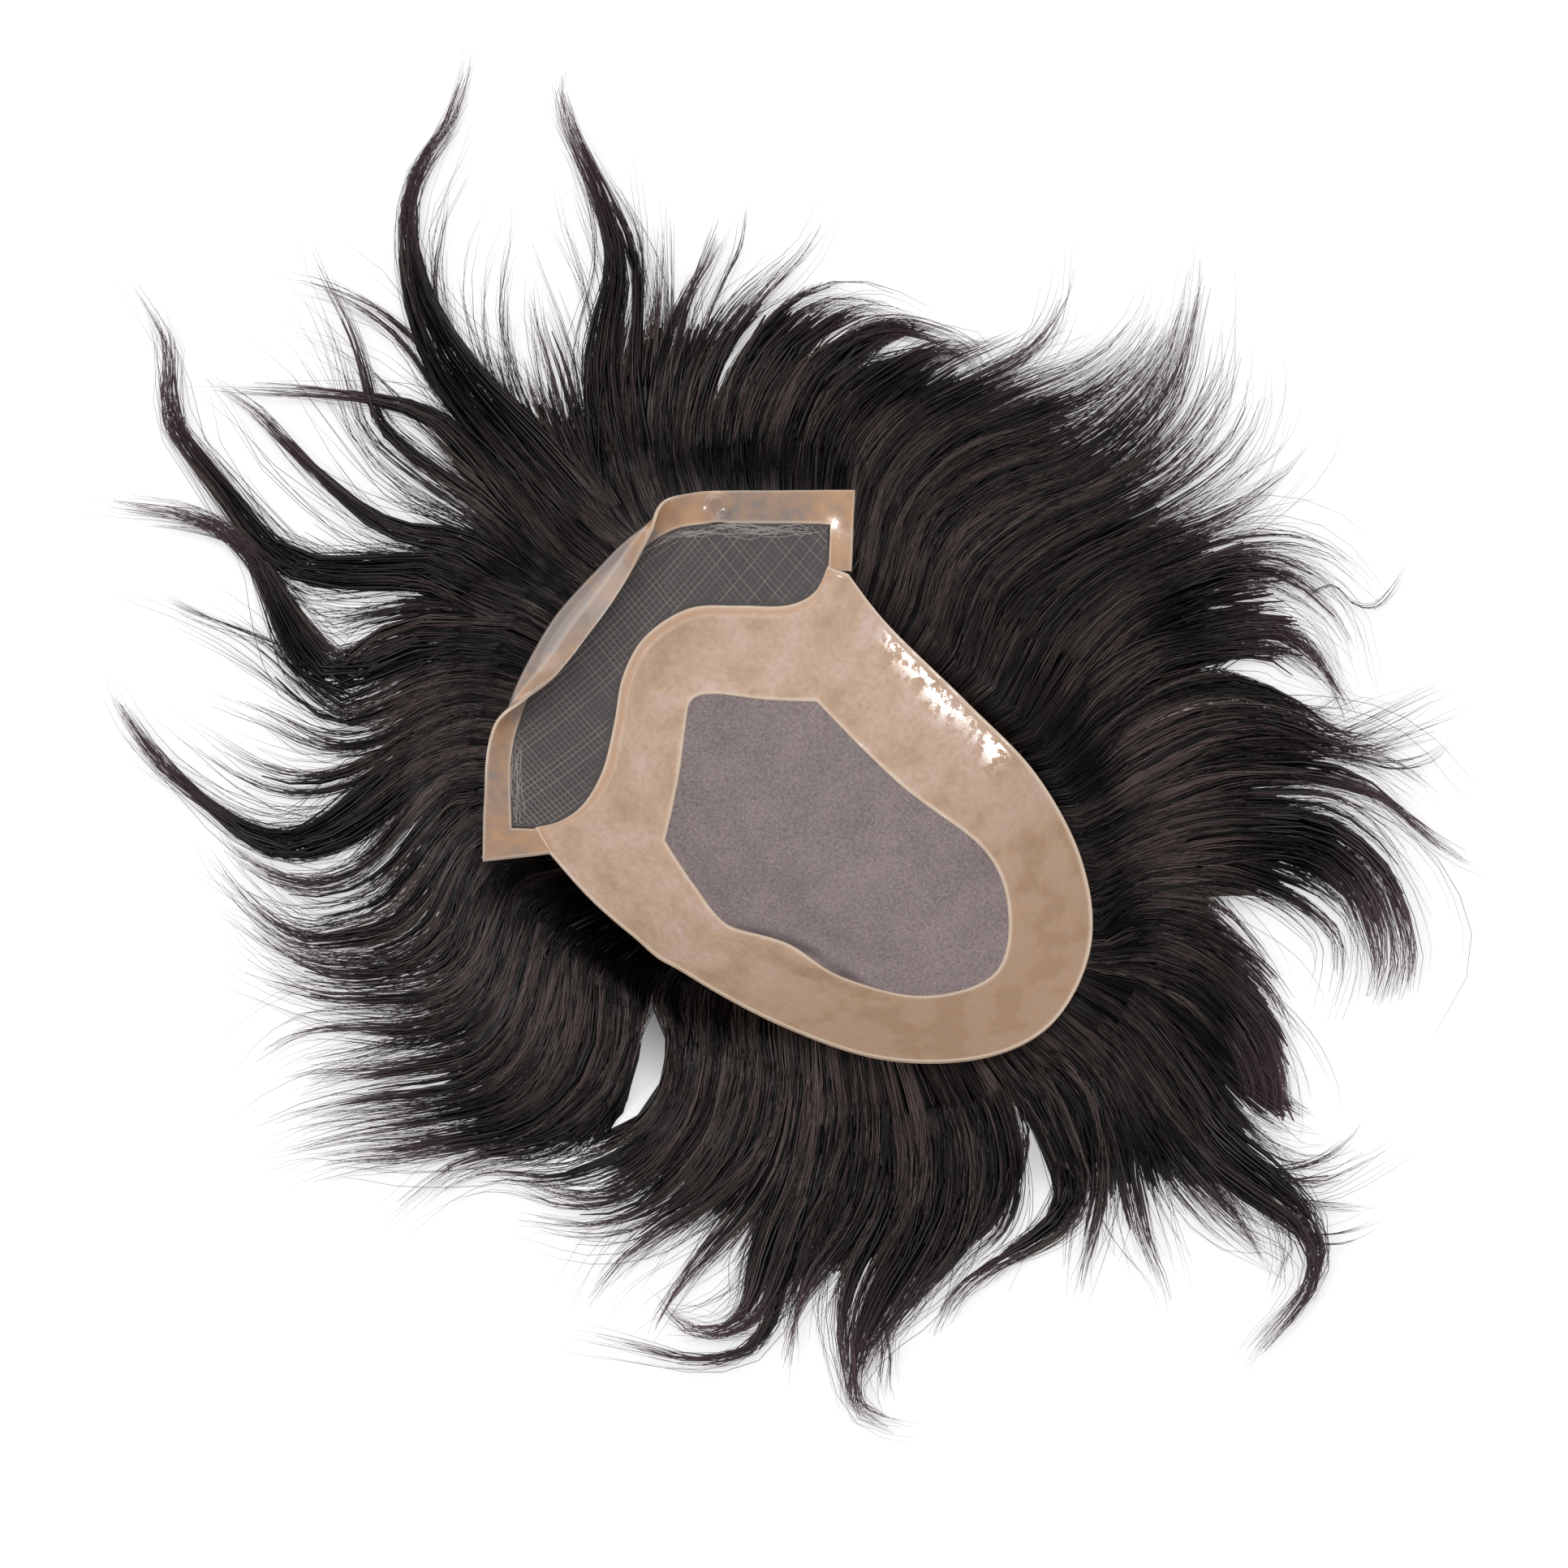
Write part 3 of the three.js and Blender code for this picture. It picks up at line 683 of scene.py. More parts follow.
@dataclass(frozen=True)
class HumanHair:
    """Black-brown human hair: near black, with fine combed streaks, a soft sheen and browner tips."""

    dark: str = "#040303"
    brown: str = "#675754"
    tip: str = "#70535D"
    streak_mm: tuple = (0.3, 26)
    brown_edge: tuple = (0.13, 0.5)
    tip_edge: tuple = (0.6, 1.0)
    tip_share: float = 0.85

    def material(self) -> Material:
        """Builds the material. Streaks run along each strand, so that a strand reads as several hairs.

        Returns:
            The material.
        """
        made, graph = Graph.material("black_brown_human_hair")
        streaks = tuple(1 / size for size in self.streak_mm)
        stretched = graph.add("VectorMath", {0: graph.mark("comb", "Vector"), 1: (*streaks, 1)},
                              operation="MULTIPLY")
        streak = graph.noise(stretched.outputs[0], size=1.0, detail=2.0)
        # The tone mark holds each strand's own tone together with painted shade and sheen, painted shade
        # beneath and painted glints.
        brown = graph.ranged(graph.math("MULTIPLY", streak, graph.mark("tone")), self.brown_edge)
        colour = graph.mix(brown, self.dark, self.brown)
        tip = graph.ranged(graph.mark("run"), self.tip_edge, (0, self.tip_share))
        graph.surface({
            "Base Color": graph.mix(tip, colour, self.tip), "Roughness": 0.32, "IOR": 1.55,
            "Specular IOR Level": 0.4})
        return made


@dataclass
class SkinBand:
    """The skin round the crown and its bridge, with welded edges and the bond line along the lace."""

    bowl: Bowl
    plan: BasePlan
    near_edge: tuple = (0, 0.25, 0.55, 0.9, 1.3, 1.8, 2.4, 3.0, 3.4, 3.9, 4.6)
    middle_rows: int = 14
    weld_height: float = 0.3
    weld_place: float = 0.55
    weld_width: float = 0.5
    weld_cream: float = 0.75
    bond_height: float = 0.6
    bond_place: float = 3.3
    bond_width: float = 0.45
    bond_cream: float = 0.3
    rim_from: float = 1
    rim_share: float = 0.8

    def build(self) -> Object:
        """Builds the band as a ring of rows from its outer edge to the window.

        Returns:
            The piece.
        """
        outer, inner = self.plan.rim(), self.plan.window()
        width = np.linalg.norm(inner - outer, axis=1)
        edge = np.array(self.near_edge)[:, None] * np.ones_like(width)
        inside = np.linspace(edge[-1], width - edge[-1], self.middle_rows + 2)[1:-1]
        depth = np.concatenate([edge, inside, (width - edge)[::-1]])
        rows = self.bowl.lay(outer + (inner - outer) * (depth / width)[..., None])
        weld = np.maximum(*(bell(side - self.weld_place, self.weld_width) for side in (depth, width - depth)))
        on_bridge = np.arange(len(width)) < self.plan.bridge_steps
        bond = bell(depth - self.bond_place, self.bond_width) * on_bridge
        rows[..., 2] += self.weld_height * np.maximum(weld, bond * self.bond_height)
        rim = (1 - smoothstep(depth, self.rim_from, self.bond_place + self.rim_from)) * on_bridge
        return Workshop.film("skin_band_film", rows, self.plan.wall, bridge_rim=rim * self.rim_share,
                             edge_line=np.maximum(weld * self.weld_cream, bond * self.bond_cream))

    def dress(self) -> None:
        """Builds the band and gives it its film."""
        Workshop.finish(self.build(), SkinFilm().material(), "skin", "skin_band")


@dataclass
class CrownMono:
    """The monofilament panel in the window, closed on a middle point."""

    bowl: Bowl
    plan: BasePlan
    middle: tuple = (2, 8)
    rows: int = 40
    folds: tuple = (Crease(35.5, 13.5, 116, 0.7, 9, 1.6), Crease(29.5, 26, 106, 0.7, 8, 1.6),
                    Crease(27.5, 42, 100, 0.6, 7, 1.8))
    # How dark the painted shade along the folds is.
    fold_painted_shade: float = 0.8
    flat_mm: tuple = (74, 133)

    def build(self) -> Object:
        """Builds the panel from the window's edge in to its middle, with the folds pressed into it and
        painted shade along them.

        Returns:
            The piece.
        """
        edge = self.plan.window()
        shares = np.linspace(0, 1, self.rows + 1)[:, None, None]
        rows = self.bowl.lay(edge + (np.array(self.middle, float) - edge) * shares)
        depths = [fold.groove(rows) for fold in self.folds]
        rows[..., 2] -= sum(depths)
        # Painted shade along the folds, as a mark for the finish.
        folded = np.clip(sum(depth / fold.depth for depth, fold in zip(depths, self.folds)), 0, 1)
        return Workshop.film("crown_mono_mesh", rows, self.plan.wall, fold=folded * self.fold_painted_shade)

    def dress(self) -> None:
        piece = self.build()
        Workshop.finish(piece, MonofilamentMesh().material(), "mono", "crown_mono")
        Workshop.cloth_area(piece)


@dataclass
class FrontLace:
    """The lace panel of the hairline: its dark ground, and the crossed threads that stand on it."""

    bowl: Bowl
    plan: BasePlan
    rows: int = 20
    flat_mm: tuple = (140, 48)
    pitch: float = 1.6
    thread: float = 0.4
    thread_flatness: float = 0.5
    thread_tones: tuple = (0, 0.6)
    headings: tuple = (1, 87)
    net_middle: tuple = (0, -75)
    net_reach: float = 110
    net_probe: float = 0.4
    net_lift: float = 0.1
    net_margin: float = 0.5
    net_steps: int = 12
    least_probes: int = 3
    fray_edge_steps: int = 400
    frayed: tuple = ((0.0, 0.3, 34), (0.82, 0.98, 12))
    frayed_mm: tuple = (6, 20)
    frayed_ends: tuple = (0.01, 0.99)
    frayed_inset: tuple = (0.3, 3.2)
    frayed_stray: float = 0.25
    frayed_lift: float = 0.2
    frayed_thread: float = 0.8
    frayed_tones: tuple = (0.6, 1)

    def edges(self) -> tuple[Array, Array]:
        """Gives the lace's front and rear edges, point beside point."""
        return spaced_line(self.plan.lace_edge, self.plan.bridge_steps - 1), self.plan.bridge()

    def build(self) -> Object:
        """Builds the ground sheet from its front edge to its rear one."""
        front, rear = self.edges()
        shares = np.linspace(0, 1, self.rows + 1)[:, None, None]
        rows = self.bowl.lay(front + (rear - front) * shares)
        return Workshop.film("front_lace_cloth", rows, self.plan.wall)

    def inside(self, points: Array) -> Array:
        """Tells which plan points lie on the lace, clear of its edges.

        Args:
            points: Plan points.

        Returns:
            True for each point inside.
        """
        front, rear = self.edges()
        loop = np.concatenate([moved_line(front, -self.net_margin), moved_line(rear, self.net_margin)[::-1]])
        x, y = points[..., 0], points[..., 1]
        inside = np.zeros(x.shape, bool)
        for (x0, y0), (x1, y1) in zip(loop, np.roll(loop, -1, axis=0)):
            rise = y1 - y0 if y1 != y0 else TINY
            inside ^= ((y0 > y) != (y1 > y)) & (x < x0 + (y - y0) * (x1 - x0) / rise)
        return inside

    def threads(self) -> Array:
        """Draws the two families of crossed threads, cut at the edges.

        Returns:
            Plan points by thread and step.
        """
        made = []
        fine = np.arange(-self.net_reach, self.net_reach, self.net_probe)
        for heading in self.headings:
            ahead = np.array([math.cos(math.radians(heading)), math.sin(math.radians(heading))])
            aside = np.array([-ahead[1], ahead[0]])
            for offset in np.arange(-self.net_reach, self.net_reach, self.pitch):
                line = np.array(self.net_middle) + aside * offset + ahead * fine[:, None]
                kept = np.r_[False, self.inside(line), False]
                ends = np.flatnonzero(kept[1:] != kept[:-1])
                runs = [(a, b) for a, b in zip(ends[::2], ends[1::2]) if b - a > self.least_probes]
                made += [np.linspace(line[a], line[b - 1], self.net_steps + 1) for a, b in runs]
        return np.array(made)

    def frays(self, rng: Rng) -> Array:
        """Draws the single threads that have come loose beside the front edge.

        Args:
            rng: The source of their places.

        Returns:
            Plan points by thread and step.
        """
        edge = spaced_line(self.plan.lace_edge, self.fray_edge_steps)
        length = np.linalg.norm(np.diff(edge, axis=0), axis=1).sum()
        inward = moved_line(edge, -1) - edge
        made = []
        for first, last, count in self.frayed:
            for start in rng.uniform(first, last, count):
                run = start + np.linspace(0, 1, self.net_steps + 1) * rng.uniform(*self.frayed_mm) / length
                at = np.clip(run, *self.frayed_ends) * self.fray_edge_steps
                stray = rng.uniform(*self.frayed_inset)
                inset = stray + rng.normal(0, self.frayed_stray, self.net_steps + 1).cumsum()
                inset = np.maximum(inset, self.frayed_inset[0])
                made.append(along_line(edge, at) + along_line(inward, at) * inset[:, None])
        return np.array(made)

    def net(self, rng: Rng) -> Object:
        """Makes the net of crossed threads as one mesh, drawn coarser than the real one so that it shows.

        Args:
            rng: The source of the loose threads' places and of the tones.

        Returns:
            The piece.
        """
        bundle = Bundle()
        for plan, width, lift, tones in (
            (self.threads(), self.thread, self.net_lift, self.thread_tones),
            (self.frays(rng), self.thread * self.frayed_thread, self.frayed_lift, self.frayed_tones),
        ):
            lines = self.bowl.lay(plan)
            lines[..., 2] += lift
            widths = np.full(lines.shape[:2], width)
            bundle.add(lines, widths, self.thread_flatness, rng.uniform(*tones, len(lines)), widths * 0)
        return Workshop.strands("front_lace_net", bundle)

    def dress(self, rng: Rng) -> None:
        """Args:
            rng: The source of the net's scatter.
        """
        ground = self.build()
        net = self.net(rng)
        Workshop.finish(ground, LaceCloth().material(), "lace", "front_lace")
        Workshop.finish(net, NetThread().material(), "lace")
        Workshop.cloth_area(ground)


@dataclass
class FrontHem:
    """The clear strip round the free edges of the lace, turned up and folded in at the middle.

    Its tables go along the lace from 0 to 1, and its tint on to -2 and 3 at the notches.
    """

    bowl: Bowl
    plan: BasePlan
    along: tuple = (0, 0.1, 0.22, 0.28, 0.34, 0.42, 0.55, 0.68, 0.76, 0.82, 0.9, 1)
    width: tuple = (10.6, 10.3, 10.2, 10, 12, 16, 20, 17, 12, 9, 8, 9)
    turn: tuple = (0, 0, 0, 25, 110, 155, 172, 160, 110, 40, 5, 0)
    tint_place: tuple = (-2, -1, 0, 0.06, 0.12, 0.2, 0.25, 0.29, 0.36, 0.5, 0.68, 0.78, 0.86, 1, 2, 3)
    tint: tuple = (0.9, 0.9, 0.75, 0.5, 0.35, 0.4, 0.85, 1, 0.7, 0.1, 0.7, 0.9, 0.55, 0.5, 0.65, 0.9)
    turn_lead: float = 0.4
    turn_end: float = 0.75
    folded_from: tuple = (60, 120)
    fold: float = 0.7
    fold_blur: float = 0.06
    folded_thin: float = 0.9
    ends: tuple = (((-61.2, -51), (-64.9, -44.9)), ((-71, -59.6), (-82.6, -60.4)),
                   ((70, -57.8), (85, -53.4)), ((63.2, -52.8), (65.8, -44.2)))
    end_lift: float = 0.3
    lift_from: tuple = (2.2, 2.5)
    first_share: float = 1 / 60
    fine_steps: int = 600
    sections: int = 420
    rows: int = 28
    end_steps: int = 10
    line_mm: float = 0.45
    inner_line: tuple = (0.04, 0.5)
    outer_line: tuple = (1, 0.6)
    fold_line: float = 0.45
    belly: tuple = (0.54, 0.1)
    belly_cream: float = 0.12
    wrinkles: tuple = ((-50.2, -88.6, 2.8, 1.5, 1.1), (-74.9, -58.4, 0, 4, 0.74))

    def curled_sections(self, shares: Array) -> Array:
        """Works out the sections that leave the lace along the bowl and curl up and in.

        Args:
            shares: How far along the lace each section stands.

        Returns:
            Points by section and step.
        """
        at = along_line(spaced_line(self.plan.lace_edge, self.fine_steps), shares * self.fine_steps)
        ahead = unit(np.gradient(at, axis=0))
        outward = np.column_stack([ahead[:, 1], -ahead[:, 0]])
        start = self.bowl.lay(at)
        slope = unit(self.bowl.lay(at + outward) - start)
        beside = np.column_stack([-outward[:, 1], outward[:, 0], np.zeros(len(at))])
        up = -np.cross(beside, slope)
        places = np.array(self.along, float)
        width, turn = (column(places, np.array(c, float), shares) for c in (self.width, self.turn))
        steps = (np.arange(self.rows) + self.turn_lead) / self.rows
        angle = (np.radians(turn)[:, None] * smoothstep(steps, 0, self.turn_end))[..., None]
        stride = np.cos(angle) * slope[:, None] + np.sin(angle) * up[:, None]
        stride = stride * width[:, None, None] / self.rows
        return start[:, None] + np.concatenate([np.zeros((len(at), 1, 3)), np.cumsum(stride, axis=1)], axis=1)

    def flat_section(self, inner: tuple, outer: tuple) -> Array:
        """Gives a straight section between two plan points on the bowl."""
        return self.bowl.lay(np.linspace(np.array(inner, float), np.array(outer, float), self.rows + 1))

    def wrinkled(self, rows: Array) -> Array:
        """Raises the small rings and domes that the film puckered into, which catch the light."""
        for x, y, radius, width, height in self.wrinkles:
            rows[..., 2] += height * bell(np.hypot(rows[..., 0] - x, rows[..., 1] - y) - radius, width)
        return rows

    def build(self) -> Object:
        """Builds the strip from notch to notch.

        Returns:
            The piece.
        """
        notch_left, corner_left, corner_right, notch_right = (self.flat_section(*end) for end in self.ends)
        shares = np.linspace(self.first_share, 1 - self.first_share, self.sections)
        curled = self.curled_sections(shares)
        joins = ((notch_left, corner_left), (corner_left, curled[0]), (curled[-1], corner_right),
                 (corner_right, notch_right))
        bridged = [np.linspace(*join, self.end_steps + 1) for join in joins]
        sections = np.concatenate([bridged[0], bridged[1][1:-1], curled, bridged[2][1:-1], bridged[3]])
        first = np.linspace(-2, 0, 2 * self.end_steps)
        places = np.r_[first, shares, 1 - first[::-1]]
        rows = self.wrinkled(sections.transpose(1, 0, 2)[::-1])
        rows[..., 2] += smoothstep(np.abs(places - 0.5), *self.lift_from) * self.end_lift
        across = np.linspace(1, 0, self.rows + 1)[:, None] * np.ones(len(sections))
        width = np.linalg.norm(np.diff(rows, axis=0), axis=2).sum(axis=0)
        folded = smoothstep(np.interp(places, self.along, self.turn), *self.folded_from)
        inner_half = smoothstep(across, self.fold - self.fold_blur, self.fold + self.fold_blur)
        inner, outer, fold = (bell((across - at) * width, self.line_mm)
                              for at in (self.inner_line[0], self.outer_line[0], self.fold))
        edge = inner * (1 - folded) * self.inner_line[1] + outer * self.outer_line[1]
        edge += fold * folded * self.fold_line
        edge += bell(places - self.belly[0], self.belly[1]) * inner_half * folded * self.belly_cream
        thick = np.interp(places, self.tint_place, self.tint)
        thick = thick * (1 - folded * (1 - inner_half) * self.folded_thin)
        return Workshop.film("front_hem_film", rows, self.plan.wall, edge_line=np.clip(edge, 0, 1),
                             thick=np.clip(thick, 0, 1))

    def dress(self) -> None:
        """Builds the strip and gives it its film."""
        Workshop.finish(self.build(), ClearFilm().material(), "hem", "front_hem")


class TipStyle(Enum):
    """How tresses end: drawn to a point, thinned out in wisps, or cut blunt."""

    POINTED = "pointed"
    WISPY = "wispy"
    BLUNT = "blunt"


@dataclass(frozen=True)
class TipCut:
    """Where a tress starts and stops narrowing, the width left at its tip, how much its strands end short by.

    These are shares: of the way from the edge of the mass to the tip, of the width and of the length. The
    last is how dense its strands lie, against a pointed one's.
    """

    narrows: tuple
    width_left: float
    short_by: float
    density: float


@dataclass(frozen=True)
class Tress:
    """A line that the hair follows, from the rim to a tip.

    How it ends, its widest width, the share of it that lies in the mass, the share of fine hair between it
    and the next one, the shares between which a gap opens there, and its plan points as x and y in turn.
    """

    style: TipStyle
    width: float
    full: float
    beside: float
    parting: tuple
    plan: tuple

    def points(self) -> Array:
        """Gives its plan points, from its root to its tip."""
        return np.array(self.plan, float).reshape(-1, 2)

    def bearing(self) -> float:
        """Gives the bearing of its root."""
        return math.degrees(math.atan2(self.plan[0], -self.plan[1])) % 360


POINTED, WISPY, BLUNT = TipStyle
CLOSED = (0, 0)
WISP_FULL = 0.2

# They go round the base by bearing, because the hair between two neighbours fills the mass.
TRESSES = tuple(Tress(*row) for row in (
    (POINTED, 9, 0.66, 0.8, CLOSED, (-55, -113, -70, -135, -87, -150, -106, -162, -121, -169, -133, -174,
     -146, -181)),
    (POINTED, 20, 0.46, 0.8, CLOSED, (-41, -114, -59, -143, -77, -165, -95, -180, -107, -190, -118, -206,
     -127, -225, -133, -239, -139, -251, -144, -257, -150, -260)),
    (WISPY, 8, 0.61, 0.8, CLOSED, (-34, -114, -45, -143, -56, -165, -66, -181, -74, -195, -83, -208)),
    (POINTED, 20, 0.39, 0.5, CLOSED, (-27, -114, -34, -145, -37, -171, -40, -195, -47, -218, -58, -239, -70,
     -254, -84, -265, -95, -269, -106, -271, -116, -276, -126, -282, -132, -288)),
    (POINTED, 9, 0.6, 0.9, CLOSED, (-18, -112, -26, -146, -31, -176, -36, -203, -40, -224, -39, -239, -36,
     -251, -32, -261, -26, -270)),
    (POINTED, 9, 0.54, 0.9, CLOSED, (-11, -112, -18, -144, -24, -172, -26, -192, -22, -205, -13, -219, -3,
     -232, 7, -244, 18, -258)),
    (WISPY, 10, 0.39, 0.9, CLOSED, (-6, -111, -11, -140, -12, -161, -10, -178, -9, -194, -10, -208, -18,
     -222, -26, -236, -33, -253, -38, -267, -45, -277)),
    (POINTED, 12, 0.43, 0.35, CLOSED, (1, -109, -2, -135, 1, -155, 10, -168, 15, -182, 16, -200, 16, -217,
     14, -235, 15, -247, 17, -259)),
    (POINTED, 17, 0.35, 0.35, CLOSED, (10, -106, 10, -129, 14, -152, 26, -166, 38, -178, 45, -192, 45, -207,
     41, -227, 39, -243, 36, -255, 28, -266, 20, -273, 15, -282, 9, -306)),
    (POINTED, 22, 0.37, 0.4, CLOSED, (20, -103, 24, -122, 33, -136, 48, -143, 62, -147, 62, -164, 57, -181,
     51, -198, 51, -215, 56, -228, 64, -239, 71, -249)),
    (WISPY, 8, 0.42, 0.6, CLOSED, (29, -98, 34, -115, 45, -127, 60, -133, 70, -139, 72, -155, 72, -174, 75,
     -190, 79, -204, 85, -220)),
    (WISPY, 12, 0.5, 0.6, CLOSED, (36, -95, 42, -111, 53, -120, 66, -124, 76, -131, 82, -141, 85, -153, 89,
     -163, 93, -174)),
    (WISPY, 10, 0.43, 0.7, CLOSED, (43, -93, 50, -107, 62, -115, 75, -118, 85, -122, 96, -130, 103, -143,
     106, -160, 108, -179)),
    (POINTED, 20, 0.36, 0.5, CLOSED, (51, -88, 58, -101, 71, -108, 84, -110, 99, -112, 112, -118, 118, -132,
     120, -148, 121, -167, 119, -182, 117, -191, 115, -197)),
    (WISPY, 14, 0.41, 0.9, CLOSED, (60, -81, 68, -91, 81, -93, 94, -93, 107, -95, 118, -102, 125, -114, 127,
     -128, 127, -138)),
    (WISPY, 16, 0.38, 1, CLOSED, (68, -73, 80, -77, 92, -75, 107, -75, 120, -82, 131, -92, 134, -107, 133,
     -124, 130, -134)),
    (WISPY, 16, 0.43, 1, CLOSED, (74, -66, 87, -65, 99, -61, 112, -63, 124, -70, 134, -82, 138, -96, 139,
     -110)),
    (WISPY, 16, 0.54, 1, CLOSED, (76, -57, 89, -53, 103, -48, 114, -51, 126, -61, 137, -72, 144, -84, 150,
     -98)),
    (WISPY, 16, 0.57, 1, CLOSED, (75, -49, 90, -43, 104, -38, 116, -40, 128, -48, 138, -59, 149, -69, 161,
     -73, 169, -73)),
    (WISPY, 18, 0.64, 1, CLOSED, (75, -42, 90, -35, 106, -29, 120, -29, 132, -37, 145, -46, 157, -56, 168,
     -62)),
    (WISPY, 18, 0.61, 1, CLOSED, (76, -35, 90, -27, 105, -20, 121, -19, 135, -26, 149, -37, 163, -47, 175,
     -54, 184, -56)),
    (WISPY, 18, 0.61, 1, CLOSED, (77, -26, 90, -17, 104, -9, 119, -7, 134, -13, 149, -23, 162, -34, 174,
     -42, 185, -48)),
    (WISPY, 16, 0.61, 1, CLOSED, (75, -17, 87, -6, 99, 2, 116, 4, 132, -1, 147, -11, 161, -21, 172, -31,
     186, -37)),
    (WISPY, 9, 0.61, 0.8, (0.18, 0.52), (72, -8, 82, 4, 95, 12, 112, 14, 128, 9, 140, 0, 153, -6, 167, -7,
     174, -7)),
    (WISPY, 9, 0.53, 0.8, CLOSED, (66, 8, 77, 21, 90, 28, 106, 28, 120, 23, 132, 16, 142, 5, 155, -1, 170,
     -3)),
    (WISPY, 16, 0.67, 0.8, CLOSED, (63, 17, 75, 30, 89, 38, 106, 40, 122, 37, 133, 28, 139, 16, 145, 5)),
    (WISPY, 14, 0.63, 0.8, CLOSED, (61, 25, 73, 39, 89, 47, 106, 49, 122, 45, 134, 37, 142, 26, 148, 18)),
    (WISPY, 16, 0.64, 0.8, CLOSED, (58, 34, 70, 48, 85, 56, 103, 57, 118, 54, 134, 52, 145, 53, 156, 55)),
    (POINTED, 9, 0.68, 0.6, CLOSED, (55, 42, 67, 56, 83, 65, 100, 68, 116, 69, 130, 71, 139, 73, 146, 75)),
    (POINTED, 14, 0.63, 0.6, CLOSED, (52, 51, 65, 64, 79, 73, 95, 79, 109, 86, 120, 91, 130, 89, 137, 80,
     136, 66)),
    (POINTED, 8, 0.54, 0.4, CLOSED, (50, 57, 61, 71, 75, 80, 93, 85, 109, 92, 122, 99, 133, 98, 144, 89,
     152, 76, 161, 61)),
    (POINTED, 12, 0.72, 0.5, CLOSED, (46, 65, 57, 79, 70, 89, 86, 94, 99, 96, 111, 101, 126, 111)),
    (POINTED, 24, 0.64, 0.4, CLOSED, (40, 73, 49, 89, 59, 101, 73, 108, 90, 113, 104, 119, 114, 127, 119,
     133, 118, 140, 114, 147)),
    (POINTED, 14, 0.72, 0.5, CLOSED, (33, 81, 39, 99, 48, 111, 63, 119, 82, 121, 96, 124, 110, 134)),
    (WISPY, 14, 0.83, 0, (0.36, 1), (25, 88, 30, 106, 38, 118, 50, 124, 64, 123, 80, 123)),
    (POINTED, 10, 0.54, 0.2, CLOSED, (16, 93, 16, 110, 20, 125, 25, 135, 35, 138, 47, 136, 61, 132, 75, 131,
     90, 136)),
    (WISPY, 14, 0.68, 0.5, CLOSED, (9, 97, 7, 115, 11, 129, 19, 139, 30, 146, 41, 152, 53, 160)),
    (WISPY, 14, 0.69, 0.5, CLOSED, (1, 99, -1, 119, 4, 136, 12, 147, 20, 159, 26, 171, 32, 180)),
    (WISPY, 18, 0.7, 0.8, CLOSED, (-6, 99, -9, 120, -6, 140, -3, 156, -1, 172, -1, 187, -2, 200)),
    (POINTED, 18, 0.6, 0.5, CLOSED, (-12, 99, -17, 120, -15, 143, -13, 161, -14, 177, -15, 189, -11, 199,
     -3, 205, 9, 207, 21, 207, 28, 208)),
    (WISPY, 12, 0.59, 0.6, CLOSED, (-18, 98, -25, 118, -23, 140, -19, 156, -19, 171, -25, 183, -37, 189,
     -52, 193)),
    (BLUNT, 18, 1, 0.3, CLOSED, (-23, 95, -39, 104, -49, 116, -51, 131, -48, 144, -41, 156, -32, 164)),
    (WISPY, 14, 0.8, 0.3, CLOSED, (-29, 91, -45, 95, -57, 103, -63, 115, -64, 130, -60, 144, -54, 156)),
    (WISPY, 8, 0.67, 0.4, (0.54, 0.95), (-33, 88, -48, 89, -59, 94, -69, 103, -72, 114, -71, 127, -66,
     138)),
    (WISPY, 12, 0.63, 0.6, CLOSED, (-39, 82, -62, 86, -79, 96, -89, 109, -93, 122, -92, 137, -83, 146, -69,
     153)),
    (BLUNT, 22, 0.83, 0.5, CLOSED, (-46, 76, -69, 80, -90, 89, -105, 101, -112, 115, -112, 132, -105, 146,
     -96, 156, -82, 163)),
    (WISPY, 8, 0.59, 0.7, CLOSED, (-52, 70, -77, 73, -98, 82, -113, 93, -125, 107, -127, 122, -124, 136,
     -117, 149)),
    (POINTED, 10, 0.69, 0.7, CLOSED, (-55, 65, -82, 69, -105, 76, -123, 88, -134, 103, -138, 117, -137, 132,
     -137, 143, -139, 153)),
    (WISPY, 16, 0.76, 0.7, CLOSED, (-59, 59, -87, 62, -112, 68, -129, 79, -139, 92, -145, 103, -149, 116,
     -148, 132)),
    (WISPY, 16, 0.74, 0.6, CLOSED, (-62, 54, -91, 54, -116, 60, -132, 72, -139, 86, -142, 99, -153, 106,
     -172, 116)),
    (WISPY, 10, 0.64, 0.3, (0.55, 0.8), (-64, 47, -95, 45, -119, 50, -135, 61, -141, 76, -143, 92, -155, 98,
     -171, 103, -186, 108)),
    (POINTED, 16, 0.82, 0.3, CLOSED, (-68, 38, -99, 33, -125, 36, -144, 46, -156, 58, -157, 72, -155, 85,
     -150, 95)),
    (WISPY, 16, 0.72, 0.6, CLOSED, (-69, 30, -102, 22, -133, 20, -157, 27, -172, 39, -176, 54, -174, 70,
     -165, 84, -161, 92)),
    (WISPY, 16, 0.76, 0.7, CLOSED, (-70, 23, -101, 12, -132, 11, -156, 18, -174, 27, -186, 39, -191, 52,
     -189, 69)),
    (WISPY, 16, 0.69, 1, CLOSED, (-70, 14, -101, 2, -130, 0, -154, 6, -174, 14, -193, 18, -209, 19, -221,
     15)),
    (WISPY, 18, 0.69, 1, CLOSED, (-70, 4, -100, -10, -128, -10, -153, -5, -178, 0, -197, 1, -214, -4, -225,
     -12)),
    (WISPY, 18, 0.64, 1, CLOSED, (-70, -7, -102, -22, -132, -22, -156, -16, -179, -11, -199, -13, -217, -18,
     -231, -27)),
    (WISPY, 20, 0.58, 1, CLOSED, (-71, -18, -102, -35, -132, -35, -156, -26, -180, -23, -202, -27, -222,
     -38, -238, -48, -247, -56)),
    (WISPY, 18, 0.65, 1, CLOSED, (-72, -28, -104, -47, -135, -48, -158, -39, -184, -35, -207, -38, -223,
     -45, -236, -52)),
